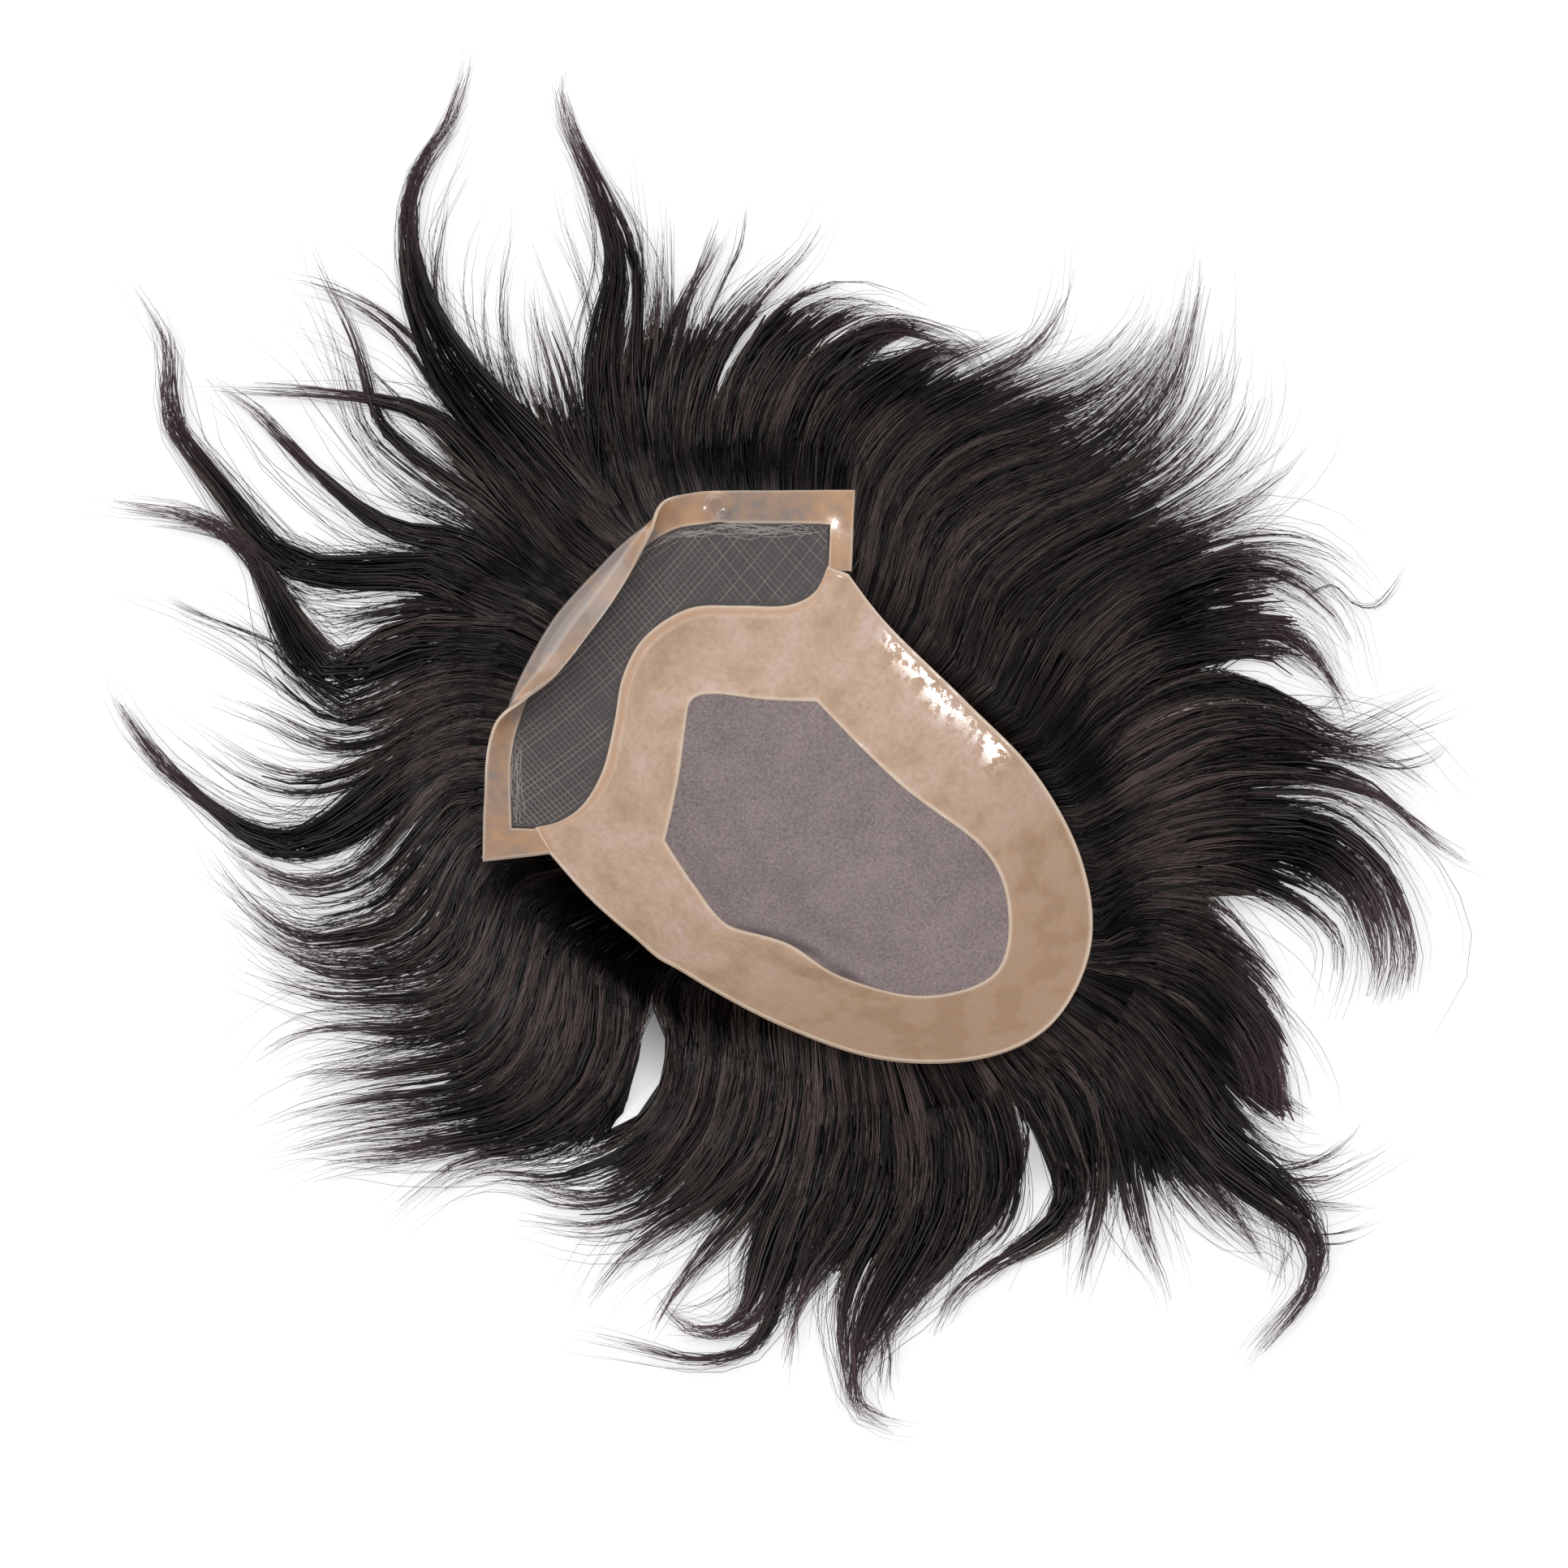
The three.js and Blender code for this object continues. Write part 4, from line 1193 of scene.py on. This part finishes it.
    (WISPY, 16, 0.67, 1, CLOSED, (-73, -38, -107, -58, -139, -61, -162, -52, -183, -44, -205, -44, -222,
     -49, -233, -56)),
    (WISPY, 14, 0.74, 0.9, CLOSED, (-75, -48, -108, -69, -139, -72, -163, -65, -181, -58, -197, -54, -214,
     -56)),
    (WISPY, 12, 0.67, 0.8, CLOSED, (-82, -59, -110, -77, -137, -81, -158, -75, -175, -70, -191, -71, -205,
     -77, -216, -85)),
    (WISPY, 10, 0.69, 0.6, CLOSED, (-91, -71, -111, -86, -135, -90, -155, -87, -170, -82, -183, -78, -196,
     -75)),
    (WISPY, 10, 0.8, 0.5, (0.57, 0.96), (-88, -80, -107, -95, -127, -101, -145, -99, -159, -94, -165, -86,
     -163, -77, -157, -68)),
    (WISPY, 10, 0.75, 0.6, (0.53, 0.9), (-79, -90, -98, -106, -123, -117, -143, -117, -156, -110, -163, -96,
     -165, -81, -157, -68)),
    (WISPY, 10, 0.78, 0.6, CLOSED, (-73, -96, -92, -115, -115, -126, -136, -128, -152, -123, -161, -112,
     -164, -97)),
    (WISPY, 9, 0.67, 0.6, (0.38, 0.71), (-67, -102, -86, -122, -108, -135, -130, -139, -147, -136, -157,
     -127, -162, -114, -164, -99)),
    (WISPY, 14, 0.7, 0.7, CLOSED, (-62, -108, -78, -129, -99, -143, -120, -150, -140, -152, -155, -153,
     -169, -157)),
))

WISPS = tuple(Tress(POINTED, width, WISP_FULL, 1, CLOSED, plan) for width, plan in (
    (3, (-83, -154, -98, -170, -113, -184, -123, -196, -130, -212, -134, -225)),
    (4, (-38, -179, -46, -207, -54, -223, -66, -237, -80, -248, -94, -260)),
    (4, (51, -185, 50, -202, 54, -214, 62, -226, 72, -237)),
    (3, (-112, -155, -129, -163, -142, -169, -157, -182)),
    (4, (-21, 151, -19, 161, -21, 172, -32, 181, -46, 184, -56, 180)),
    (5, (-15, 156, -15, 171, -19, 185, -26, 195, -35, 205)),
    (4, (-10, 180, -12, 194, -20, 203, -31, 208)),
    (4, (-138, 95, -144, 104, -149, 113, -158, 119, -168, 120)),
    (2, (-183, 57, -183, 66, -187, 72, -198, 72, -209, 69)),
    (4, (68, -174, 74, -186, 79, -199, 82, -212)),
    (4, (94, 119, 102, 129, 109, 135, 114, 143)),
))


@dataclass(frozen=True)
class HairMass:
    """The mass of hair by bearing: the ring under the rim where it crests, and how far out it lies dense.

    Its tables go round in even steps. The top sags at the crest and swells past it, dips make room for the
    light where the hair parts, and the painted light spots are hollows, where the top is lowered and painted
    shade darkens the strands, or painted sheens that lighten them where their depth is below 0.
    """

    crest: tuple = (92, 87, 74, 63, 64, 80, 96, 78, 60, 54, 66, 87)
    dense: tuple = (150, 142, 138, 136, 126, 132, 158, 148, 158, 174, 170, 162)
    sag: tuple = (0, 0, 8, 13, 4, 0, 0, 5, 7, 5, 0, 3)
    sag_width: float = 12
    dips: tuple = (Crease(98, 20, 17, 8, 28, 16), Crease(31, 125, 50, 5, 22, 12))
    hollow_depth: float = 4
    # Painted shade and sheen: rows above 0 lower the top and darken the strands' tones as painted shade, rows
    # below 0 lighten them as a painted sheen.
    painted_light_spots: tuple = tuple(Crease(*row) for row in (
        (-143, 31, 93, 1.0, 14, 15), (-73, 42, 77, 1.0, 31, 9), (-136, 97, 123, 0.8, 19, 9),
        (-104, 113, 95, 1.0, 17, 12), (-44, 88, 55, 0.8, 18, 9), (-44, 141, 64, 0.8, 27, 11),
        (72, -22, 98, 1.1, 34, 11), (-6, -128, 95, 0.5, 20, 14), (31, -114, 69, 0.4, 18, 10),
        (41, -177, 116, 0.8, 20, 12), (71, -156, 80, 0.8, 20, 12), (108, -124, 121, 0.9, 24, 11),
        (-39, -198, 81, 0.7, 27, 11), (-81, -110, 128, 0.8, 30, 10), (-143, -94, 114, 0.7, 30, 10),
        (130, 11, 104, 0.7, 35, 9), (4, 143, 98, 0.5, 15, 12), (-90, 64, 53, -0.8, 41, 13),
        (-95, -139, 125, -0.5, 41, 14), (62, -111, 56, -0.6, 30, 12), (96, -18, 101, -0.5, 31, 14),
        (62, 63, 125, -0.4, 33, 14), (8, 103, 152, -0.4, 16, 12), (-110, -32, 162, -0.3, 27, 16),
        (-88, 140, 97, 0.4, 19, 10)))
    below_rim: float = 3.2
    below_inside: float = 3.1
    swell: float = 5
    swell_place: float = 20
    swell_width: float = 12
    edge: float = 4
    fall_power: float = 1.4

    def at(self, values: tuple, bearing: Array) -> Array:
        """Reads a column of the table, which goes round, at bearings."""
        step = 360 / len(values)
        places = np.arange(-len(values), 2 * len(values)) * step
        return column(places, np.array(values * 3, float), np.asarray(bearing) % 360)

    def shade(self, points: Array) -> Array:
        """Gives the painted shade on hair at plan points where it lies in a hollow, or below 0 the painted
        sheen where it turns to the light.
        """
        return sum(shade.groove(points) for shade in self.painted_light_spots)

    def top(self, bowl: Bowl, points: Array) -> Array:
        """Gives the height of the top of the mass over plan points.

        Args:
            bowl: The base that it lies under.
            points: Plan points.

        Returns:
            Heights in millimetres.
        """
        bearing = np.degrees(np.arctan2(points[..., 0], -points[..., 1]))
        crest, dense = self.at(self.crest, bearing), self.at(self.dense, bearing)
        rim = bowl.height(plan_point(bearing, crest)) - self.below_rim
        past = np.linalg.norm(points, axis=-1) - crest
        fall = np.clip(past / (dense - crest), 0, 1)
        outside = self.edge + (rim - self.edge) * (1 - fall) ** self.fall_power
        outside += self.swell * bell(past - self.swell_place, self.swell_width)
        outside -= self.at(self.sag, bearing) * bell(past, self.sag_width)
        outside -= np.clip(self.shade(points), 0, 1) * self.hollow_depth
        outside -= sum(dip.groove(points) for dip in self.dips)
        return np.minimum(outside, bowl.height(points) - self.below_inside)


class Layer(Enum):
    """The layers of strands: coarse hair beneath, body, fringe, locks' cores, locks, loose hairs, wisps."""

    UNDER = "under"
    BODY = "body"
    FRINGE = "fringe"
    CORE = "core"
    LOCK = "lock"
    LOOSE = "loose"
    WISP = "wisp"


@dataclass(frozen=True)
class StrandCut:
    """How a layer's strands are drawn.

    Width in millimetres, depth over width, steps along, strands for each millimetre between tresses or across
    one, how deep they lie in the mass and how far they wave. The last three are only for strands between
    tresses: the least share of the way to the edge of the mass that they reach, the most share of the way
    beyond it, and how far they gather in tufts.
    """

    width: float
    flatness: float
    steps: int
    per_mm: float
    depth: float
    wave: float
    reach: float = 1
    beyond: float = 1
    gather: float = 1


@dataclass
class FannedHair:
    """The hair that fans out round the base, in two pieces for each zone, and the hair under the crown.

    Pairs of values are ranges to draw from or edges to fade between, a mix is the shares of a tuft's draw and
    a strand's own, and a shape is that of a beta draw.
    """

    bowl: Bowl
    mass: HairMass
    tresses: tuple = TRESSES
    wisps: tuple = WISPS
    zones: tuple = (("front_hair", 309, 53), ("right_hair", 53, 141), ("back_hair", 141, 203),
                    ("left_hair", 203, 309))
    cuts: dict = field(default_factory=lambda: {
        Layer.UNDER: StrandCut(2.5, 0.22, 6, 1.9, 4.5, 0.6, 0.88, 0.08, 0.25),
        Layer.BODY: StrandCut(0.46, 0.6, 8, 3.3, 2.6, 2.0, 0.76, 0.3, 0.75),
        Layer.FRINGE: StrandCut(0.22, 0.7, 9, 2.8, 0.8, 3.0, 0.9, 1, 0.85),
        Layer.CORE: StrandCut(1.5, 0.3, 8, 0.9, 1.6, 0.6),
        Layer.LOCK: StrandCut(0.36, 0.6, 10, 3.8, 1.0, 2.0),
        Layer.LOOSE: StrandCut(0.17, 0.7, 13, 1.5, 0.4, 3.0),
        Layer.WISP: StrandCut(0.22, 0.7, 12, 2.6, 0.4, 1.4),
    })
    tips: dict = field(default_factory=lambda: {
        POINTED: TipCut((-0.2, 0.75), 0.06, 0.3, 1),
        WISPY: TipCut((0, 1), 0.6, 0.6, 0.75),
        BLUNT: TipCut((0, 1), 0.75, 0.14, 1),
    })
    guide_steps: int = 60
    root_inset: float = 14
    under_inset: float = 30
    free_from: tuple = (0.86, 1.1)
    lock_flatness: float = 0.34
    least_depth: float = 0.6
    lock_lift: float = 0.2
    lock_fill: float = 0.8
    below_top: float = 0.3
    clear: float = 0.15
    tuft_mm: float = 4.4
    least_tufts: int = 2
    phase_stray: float = 0.4
    opening: float = 0.74
    opening_power: float = 0.7
    least_body: int = 4
    beyond_shape: tuple = (1, 1.6)
    gather_from: tuple = (0.15, 0.9)
    stray_mm: float = 1.8
    body_turns: float = 5
    curl: float = 12
    depth_mix: tuple = (0.7, 0.3)
    under_depth: float = 0.7
    # Painted shade: the share of tone kept by the coarse strands beneath, the locks' cores and the hair under
    # the crown.
    painted_under_shade: float = 0.35
    least_lock: int = 3
    lock_start: float = 0.35
    clump_reach: float = 0.9
    clumps_per_tuft: float = 1.6
    clump_spread: float = 0.14
    edge_short: tuple = (0.6, 1.5)
    own_short: float = 0.7
    own_short_shape: tuple = (1.2, 3)
    loose_spread: float = 0.8
    loose_end: tuple = (0.75, 1.04)
    core_reach: float = 0.84
    lock_turns: tuple = (4, 7)
    lock_depth_power: float = 1.3
    # Limits of the factor of painted shade and sheen on the tones.
    shade_limits: tuple = (0.04, 1.8)
    # Painted glints: the share of strands made lighter, and by how much.
    painted_glint_share: float = 0.07
    painted_glint_gain: float = 0.45
    tone_mix: tuple = (0.6, 0.4)
    tone_power: float = 1.3
    tone_gain: float = 1.1
    tip_taper: tuple = (2.6, 0.24)
    root_taper: tuple = (11, 0.15)
    width_vary: tuple = (0.75, 1.2)
    crown_count: int = 900
    crown_steps: int = 6
    crown_overlap: float = 4
    crown_start: tuple = (0.05, 0.6)
    crown_swing: float = 6
    crown_below: float = 0.4
    crown_depth: float = 6
    crown_width: float = 2.2
    crown_flatness: float = 0.35
    crown_run: float = 0.4

    def guide(self, tress: Tress, inset: float) -> Array:
        """Draws the plan line that a tress follows, from an inset under the rim to its tip."""
        points = tress.points()
        under = points[0] * (1 - inset / np.linalg.norm(points[0]))
        return spaced_line([under, *points], self.guide_steps)

    def settled(self, plan: Array, half_lock: Array, deep: Array, rise: Array, cut: StrandCut) -> Array:
        """Lays plan points on the mass, or within their lock where the mass has thinned out.

        Args:
            plan: Plan points by strand and step.
            half_lock: Half of the lock's width at each.
            deep: How deep each strand lies in the mass.
            rise: Where each strand lies in its lock, from -1 below to 1 above.
            cut: The strands' size, which keeps them clear of the surface.

        Returns:
            Points by strand and step.
        """
        top = self.mass.top(self.bowl, plan)
        half_depth = half_lock * self.lock_flatness + self.least_depth
        dense = self.mass.at(self.mass.dense, np.degrees(np.arctan2(plan[..., 0], -plan[..., 1])))
        free = smoothstep(np.linalg.norm(plan, axis=-1) / dense, *self.free_from)
        lying = np.maximum(half_depth + self.lock_lift, top * self.lock_fill)
        lying = lying + rise[:, None] * half_depth * self.lock_fill
        height = (top - self.below_top - deep[:, None]) * (1 - free) + lying * free
        height = np.maximum(height, cut.width * cut.flatness + self.clear)
        return np.concatenate([plan, height[..., None]], axis=-1)

    def along(self, guide: Array, shares: Array) -> Array:
        """Gives the points of a guide at shares of its length, and straight on beyond its tip."""
        beyond = np.maximum(shares - 1, 0)[..., None] * self.guide_steps * (guide[-1] - guide[-2])
        return along_line(guide, shares * self.guide_steps) + beyond

    @staticmethod
    def pushed(plan: Array, distance: Array) -> Array:
        """Moves strands' plan points aside, square to the strands."""
        ahead = unit(np.gradient(plan, axis=1))
        return plan + distance[..., None] * np.stack([-ahead[..., 1], ahead[..., 0]], axis=-1)

    def parted(self, side: Array, shares: Array, parting: tuple) -> Array:
        """Draws strands towards the tress on their own side where a gap opens between two tresses.

        Args:
            side: Where each strand lies between the two, from 0 to 1, by strand and step.
            shares: Share of the tress's length at each.
            parting: The shares between which the gap opens.

        Returns:
            Where each strand lies then.
        """
        if parting[1] <= parting[0]:
            return side
        way = np.clip((shares - parting[0]) / (parting[1] - parting[0]), 0, 1)
        kept = 1 - self.opening * np.sin(np.pi * way) ** self.opening_power
        return np.where(side[:, :1] < 0.5, side * kept, 1 - (1 - side) * kept)

    def body_strands(self, pair: tuple[Tress, Tress], layer: Layer, rng: Rng, bundle: Bundle) -> None:
        """Adds the strands that fill the mass between two tresses, in tufts.

        Args:
            pair: A tress and the next one round.
            layer: Which layer.
            rng: The source of the strands' scatter.
            bundle: Where they go.
        """
        cut = self.cuts[layer]
        inset = self.under_inset if layer is Layer.UNDER else self.root_inset
        first, second = self.guide(pair[0], inset), self.guide(pair[1], inset)
        edge = round(pair[0].full * self.guide_steps)
        width = np.linalg.norm(first - second, axis=1)[: edge + 1].max()
        share = pair[0].beside if layer is Layer.FRINGE else 1
        count = max(self.least_body, round(cut.per_mm * width * share))
        weight = rng.random(count)
        tufts = np.sort(rng.random(max(self.least_tufts, round(width / self.tuft_mm))))
        own = np.abs(weight[:, None] - tufts).argmin(axis=1)
        full = pair[0].full + (pair[1].full - pair[0].full) * weight
        end = full * rng.uniform(cut.reach, 1, count)
        end = end + (1 - full) * rng.beta(*self.beyond_shape, count) * cut.beyond
        runs = np.linspace(0, 1, cut.steps + 1) * np.ones((count, 1))
        shares = runs * end[:, None]
        gather = cut.gather * smoothstep(runs, *self.gather_from)
        side = weight[:, None] + (tufts[own] - weight)[:, None] * gather
        side = side + rng.normal(0, self.stray_mm / width, count)[:, None] * runs
        side = self.parted(np.clip(side, 0, 1), shares, pair[0].parting)[..., None]
        points = self.along(first, shares) * (1 - side) + self.along(second, shares) * side
        phase = rng.uniform(0, 2 * np.pi, len(tufts))[own] + rng.normal(0, self.phase_stray, count)
        wave = cut.wave * runs * np.sin(phase[:, None] + runs * self.body_turns)
        flick = rng.normal(0, self.curl, len(tufts))[own]
        plan = self.pushed(points, wave + flick[:, None] * np.maximum(shares - full[:, None], 0))
        deep = self.mixed(self.depth_mix, len(tufts), own, rng) * cut.depth
        tones = self.toned(len(tufts), own, rng)
        if layer is Layer.UNDER:
            deep += self.cuts[Layer.BODY].depth * self.under_depth
            # Painted shade on the strands beneath the body.
            tones *= self.painted_under_shade
        half_tuft = np.full(plan.shape[:2], self.tuft_mm / 2)
        lines = self.settled(plan, half_tuft, deep, rng.uniform(-1, 1, count), cut)
        # The tones take painted shade in the hollows and painted sheen where the mass turns to the light.
        bundle.add(lines, self.tapered(cut, runs, rng), cut.flatness, self.with_painted_light(tones, plan), shares)

    def lock_strands(self, tress: Tress, layer: Layer, rng: Rng, bundle: Bundle) -> None:
        """Adds one layer of a tress's own strands to a bundle.

        Args:
            tress: The tress.
            layer: Which layer.
            rng: The source of the strands' scatter.
            bundle: Where they go.
        """
        cut, tip = self.cuts[layer], self.tips[tress.style]
        count = max(self.least_lock, round(cut.per_mm * tress.width * tip.density))
        across = rng.uniform(-1, 1, count)
        clump_count = max(self.least_tufts, round(tress.width / self.tuft_mm * self.clumps_per_tuft))
        clumps = np.sort(rng.uniform(-self.clump_reach, self.clump_reach, clump_count))
        own = np.abs(across[:, None] - clumps).argmin(axis=1)
        spread = self.clump_spread
        short = self.edge_short[0] * np.abs(across) ** self.edge_short[1]
        end = 1 - tip.short_by * (short + self.own_short * rng.beta(*self.own_short_shape, count))
        if layer is Layer.LOOSE:
            spread = self.loose_spread
            end = rng.uniform(*self.loose_end, count)
        elif layer is Layer.CORE:
            end *= self.core_reach
        gathered = clumps[own] + rng.normal(0, spread, count)
        runs = np.linspace(0, 1, cut.steps + 1) * np.ones((count, 1))
        start = tress.full * self.lock_start
        shares = start + runs * (end[:, None] - start)
        past = (shares - tress.full) / (1 - tress.full)
        half = tress.width / 2 * (1 - (1 - tip.width_left) * smoothstep(past, *tip.narrows))
        gather = smoothstep(shares, start, tress.full)
        lateral = (across[:, None] + (gathered - across)[:, None] * gather) * half
        phase = rng.uniform(0, 2 * np.pi, len(clumps))[own] + rng.normal(0, self.phase_stray, count)
        turns = shares * rng.uniform(*self.lock_turns, count)[:, None]
        wave = cut.wave * (np.sin(phase[:, None] + turns) - np.sin(phase)[:, None])
        guide = self.along(self.guide(tress, self.root_inset), shares)
        plan = self.pushed(guide, lateral + wave * np.clip(past, 0, 1))
        deep = rng.random(count) ** self.lock_depth_power * cut.depth
        lines = self.settled(plan, half, deep, rng.uniform(-1, 1, count), cut)
        # The locks' cores take painted shade.
        tones = self.toned(len(clumps), own, rng) * (self.painted_under_shade if layer is Layer.CORE else 1)
        widths = self.tapered(cut, runs, rng)
        # The tones take painted shade in the hollows and painted sheen where the mass turns to the light.
        bundle.add(lines, widths, cut.flatness, self.with_painted_light(tones, plan), np.minimum(shares, 1))

    def with_painted_light(self, tones: Array, plan: Array) -> Array:
        """Paints shade into strands' tones in the hollows of the mass, and paints sheen into them where it
        turns to the light.
        """
        return tones[:, None] * np.clip(1 - self.mass.shade(plan), *self.shade_limits)

    @staticmethod
    def mixed(mix: tuple, tufts: int, own: Array, rng: Rng) -> Array:
        """Draws a value for each strand, part its tuft's and part its own."""
        return mix[0] * rng.random(tufts)[own] + mix[1] * rng.random(len(own))

    def toned(self, tufts: int, own: Array, rng: Rng) -> Array:
        """Gives each strand a tone, with a few lighter ones among dark as painted glints."""
        # Painted glints: a few strands lifted to a lighter tone.
        light = self.painted_glint_gain * (rng.random(len(own)) < self.painted_glint_share)
        return self.mixed(self.tone_mix, tufts, own, rng) ** self.tone_power * self.tone_gain + light

    def tapered(self, cut: StrandCut, runs: Array, rng: Rng) -> Array:
        """Gives strands' widths, thinner at the root and drawn out to the tip."""
        tip = np.minimum(1, (1 - runs) * self.tip_taper[0] + self.tip_taper[1])
        root = np.minimum(1, runs * self.root_taper[0] + self.root_taper[1])
        return cut.width * (tip * root) * rng.uniform(*self.width_vary, (len(runs), 1))

    def zone_of(self, tress: Tress) -> str:
        """Names the zone that a tress belongs to by its root."""
        for name, start, end in self.zones:
            if (tress.bearing() - start) % 360 < (end - start) % 360:
                return name
        raise ValueError(f"no zone holds bearing {tress.bearing()}")

    def build(self, rng: Rng) -> dict[str, list[Object]]:
        """Builds the strands of each zone.

        Args:
            rng: The source of the strands' scatter.

        Returns:
            The zones' pieces by node name: the mass and the locks.
        """
        masses = {zone[0]: Bundle() for zone in self.zones}
        locks = {zone[0]: Bundle() for zone in self.zones}
        for tress, after in zip(self.tresses, (*self.tresses[1:], self.tresses[0])):
            for layer in (Layer.UNDER, Layer.BODY, Layer.FRINGE):
                self.body_strands((tress, after), layer, rng, masses[self.zone_of(tress)])
        for tress in self.tresses:
            for layer in (Layer.CORE, Layer.LOCK, Layer.LOOSE):
                self.lock_strands(tress, layer, rng, locks[self.zone_of(tress)])
        for wisp in self.wisps:
            self.lock_strands(wisp, Layer.WISP, rng, locks[self.zone_of(wisp)])
        return {zone: [Workshop.strands(f"{zone}_mass", masses[zone]),
                       Workshop.strands(f"{zone}_locks", locks[zone])] for zone in masses}

    def crown(self, rng: Rng) -> Object:
        """Builds the hair under the base, combed out from its middle to the roots of the tresses.

        Args:
            rng: The source of the strands' scatter.

        Returns:
            The piece.
        """
        count, steps = self.crown_count, self.crown_steps
        bearing = rng.uniform(0, 360, count)
        roots = [np.linalg.norm(tress.points()[0]) for tress in self.tresses]
        reach = np.interp(bearing, [tress.bearing() for tress in self.tresses], roots, period=360)
        reach = reach - self.under_inset + self.crown_overlap
        reach = np.maximum(self.mass.at(self.mass.crest, bearing), reach)
        start = rng.uniform(*self.crown_start, count)
        runs = np.linspace(0, 1, steps + 1)[None, :] * np.ones((count, 1))
        distance = reach[:, None] * (start[:, None] + (1.0 - start[:, None]) * runs)
        swing = rng.normal(0, self.crown_swing, count)[:, None] * runs
        plan = plan_point(bearing[:, None] + swing, distance)
        height = self.mass.top(self.bowl, plan) - self.crown_below
        height = height - rng.random(count)[:, None] * self.crown_depth
        widths = np.full((count, steps + 1), self.crown_width)
        bundle = Bundle()
        # The hair under the crown takes painted shade in its tones.
        bundle.add(np.concatenate([plan, height[..., None]], axis=-1), widths, self.crown_flatness,
                   rng.random(count) * self.painted_under_shade, runs * self.crown_run)
        return Workshop.strands("crown_hair_strands", bundle)

    def dress(self, rng: Rng) -> None:
        """Builds all the hair and gives it its finish."""
        hair = HumanHair().material()
        for node, pieces in self.build(rng).items():
            for piece in pieces:
                Workshop.finish(piece, hair, "hair", node)
        Workshop.finish(self.crown(rng), hair, "hair", "crown_hair")


@dataclass(frozen=True)
class SoftBox:
    """A soft box that faces the middle of the object: its place and sides in metres, its power in watts."""

    name: str
    place: tuple
    side: float
    power: float

    def hang(self) -> None:
        """Hangs it in the scene."""
        lamp = bpy.data.lights.new(self.name, "AREA")
        lamp.size = self.side
        lamp.energy = self.power
        holder = bpy.data.objects.new(self.name, lamp)
        holder.location = self.place
        holder.rotation_mode = "QUATERNION"
        holder.rotation_quaternion = (-Vector(self.place)).to_track_quat("-Z", "Y")
        bpy.context.scene.collection.objects.link(holder)


@dataclass(frozen=True)
class Studio:
    """The pale floor, soft light and camera: angles in degrees, sizes in millimetres, floor in metres."""

    azimuth: float = 134
    elevation: float = 66
    target: tuple = (-3, -14, 25)
    distance: float = 1200
    view_width: float = 483
    sensor: float = 36
    floor_side: float = 6
    floor_colour: str = "#C4C4C4"
    floor_glow: float = 0.5
    glow_from: tuple = (65, 92)
    sky: float = 0.72
    sky_mirrored: float = 0.3
    boxes: tuple = (SoftBox("overhead_softbox", (-0.3, -0.3, 1.8), 1.4, 9),
                    SoftBox("side_softbox", (1.09, -0.5, 1.08), 0.12, 4))

    def floor(self) -> None:
        """Lays the floor as no part of the object: white acrylic, lit a little from below round the base."""
        bpy.ops.object.select_all(action="DESELECT")
        bpy.ops.mesh.primitive_plane_add(size=self.floor_side, location=(0, 0, 0))
        floor = bpy.context.object
        floor.name = "studio_floor"
        paint, graph = Graph.material("lit_white_acrylic")
        away = graph.add("VectorMath", {0: graph.place()}, operation="LENGTH").outputs["Value"]
        glow = graph.ranged(away, tuple(radius * MM for radius in self.glow_from), (0, self.floor_glow))
        graph.surface({
            "Base Color": linear(self.floor_colour), "Roughness": 0.9, "Specular IOR Level": 0.1,
            "Emission Color": WHITE, "Emission Strength": glow})
        floor.data.materials.append(paint)

    def camera(self) -> None:
        """Stands the camera at the photograph's angle."""
        azimuth, elevation = math.radians(self.azimuth), math.radians(self.elevation)
        back = Vector((math.sin(azimuth) * math.cos(elevation), -math.cos(azimuth) * math.cos(elevation),
                       math.sin(elevation)))
        right = Vector((math.cos(azimuth), math.sin(azimuth), 0))
        up = back.cross(right)
        lens = bpy.data.cameras.new("studio_camera")
        lens.sensor_width = self.sensor
        lens.lens = self.sensor * self.distance / self.view_width
        holder = bpy.data.objects.new("studio_camera", lens)
        place = (Vector(self.target) + back * self.distance) * MM
        turned = Matrix((right, up, back)).transposed().to_4x4()
        holder.matrix_world = Matrix.Translation(place) @ turned
        bpy.context.scene.collection.objects.link(holder)
        bpy.context.scene.camera = holder

    def light(self) -> None:
        """Sets an even sky, which is darker where it is mirrored, and hangs the soft boxes."""
        world = bpy.context.scene.world or bpy.data.worlds.new("studio_sky")
        bpy.context.scene.world = world
        world.use_nodes = True
        graph = Graph(world.node_tree)
        mirrored = graph.add("LightPath").outputs["Is Glossy Ray"]
        sky = graph.tree.nodes["Background"].inputs
        sky["Color"].default_value = WHITE
        graph.tree.links.new(graph.ranged(mirrored, (0, 1), (self.sky, self.sky_mirrored)), sky["Strength"])
        for box in self.boxes:
            box.hang()

    def set_up(self) -> None:
        """Sets up the floor, the lights and the camera."""
        bpy.context.scene.view_settings.view_transform = "Standard"
        self.floor()
        self.light()
        self.camera()


def main() -> None:
    """Builds the hairpiece's pieces in order and sets up the studio."""
    logging.basicConfig(level=logging.INFO, format="%(name)s %(message)s")
    rng = np.random.default_rng(SEED)
    bowl, plan = Bowl(), BasePlan()
    SkinBand(bowl, plan).dress()
    CrownMono(bowl, plan).dress()
    FrontLace(bowl, plan).dress(rng)
    FrontHem(bowl, plan).dress()
    FannedHair(bowl, HairMass()).dress(rng)
    Studio().set_up()


if __name__ == "__main__":
    main()
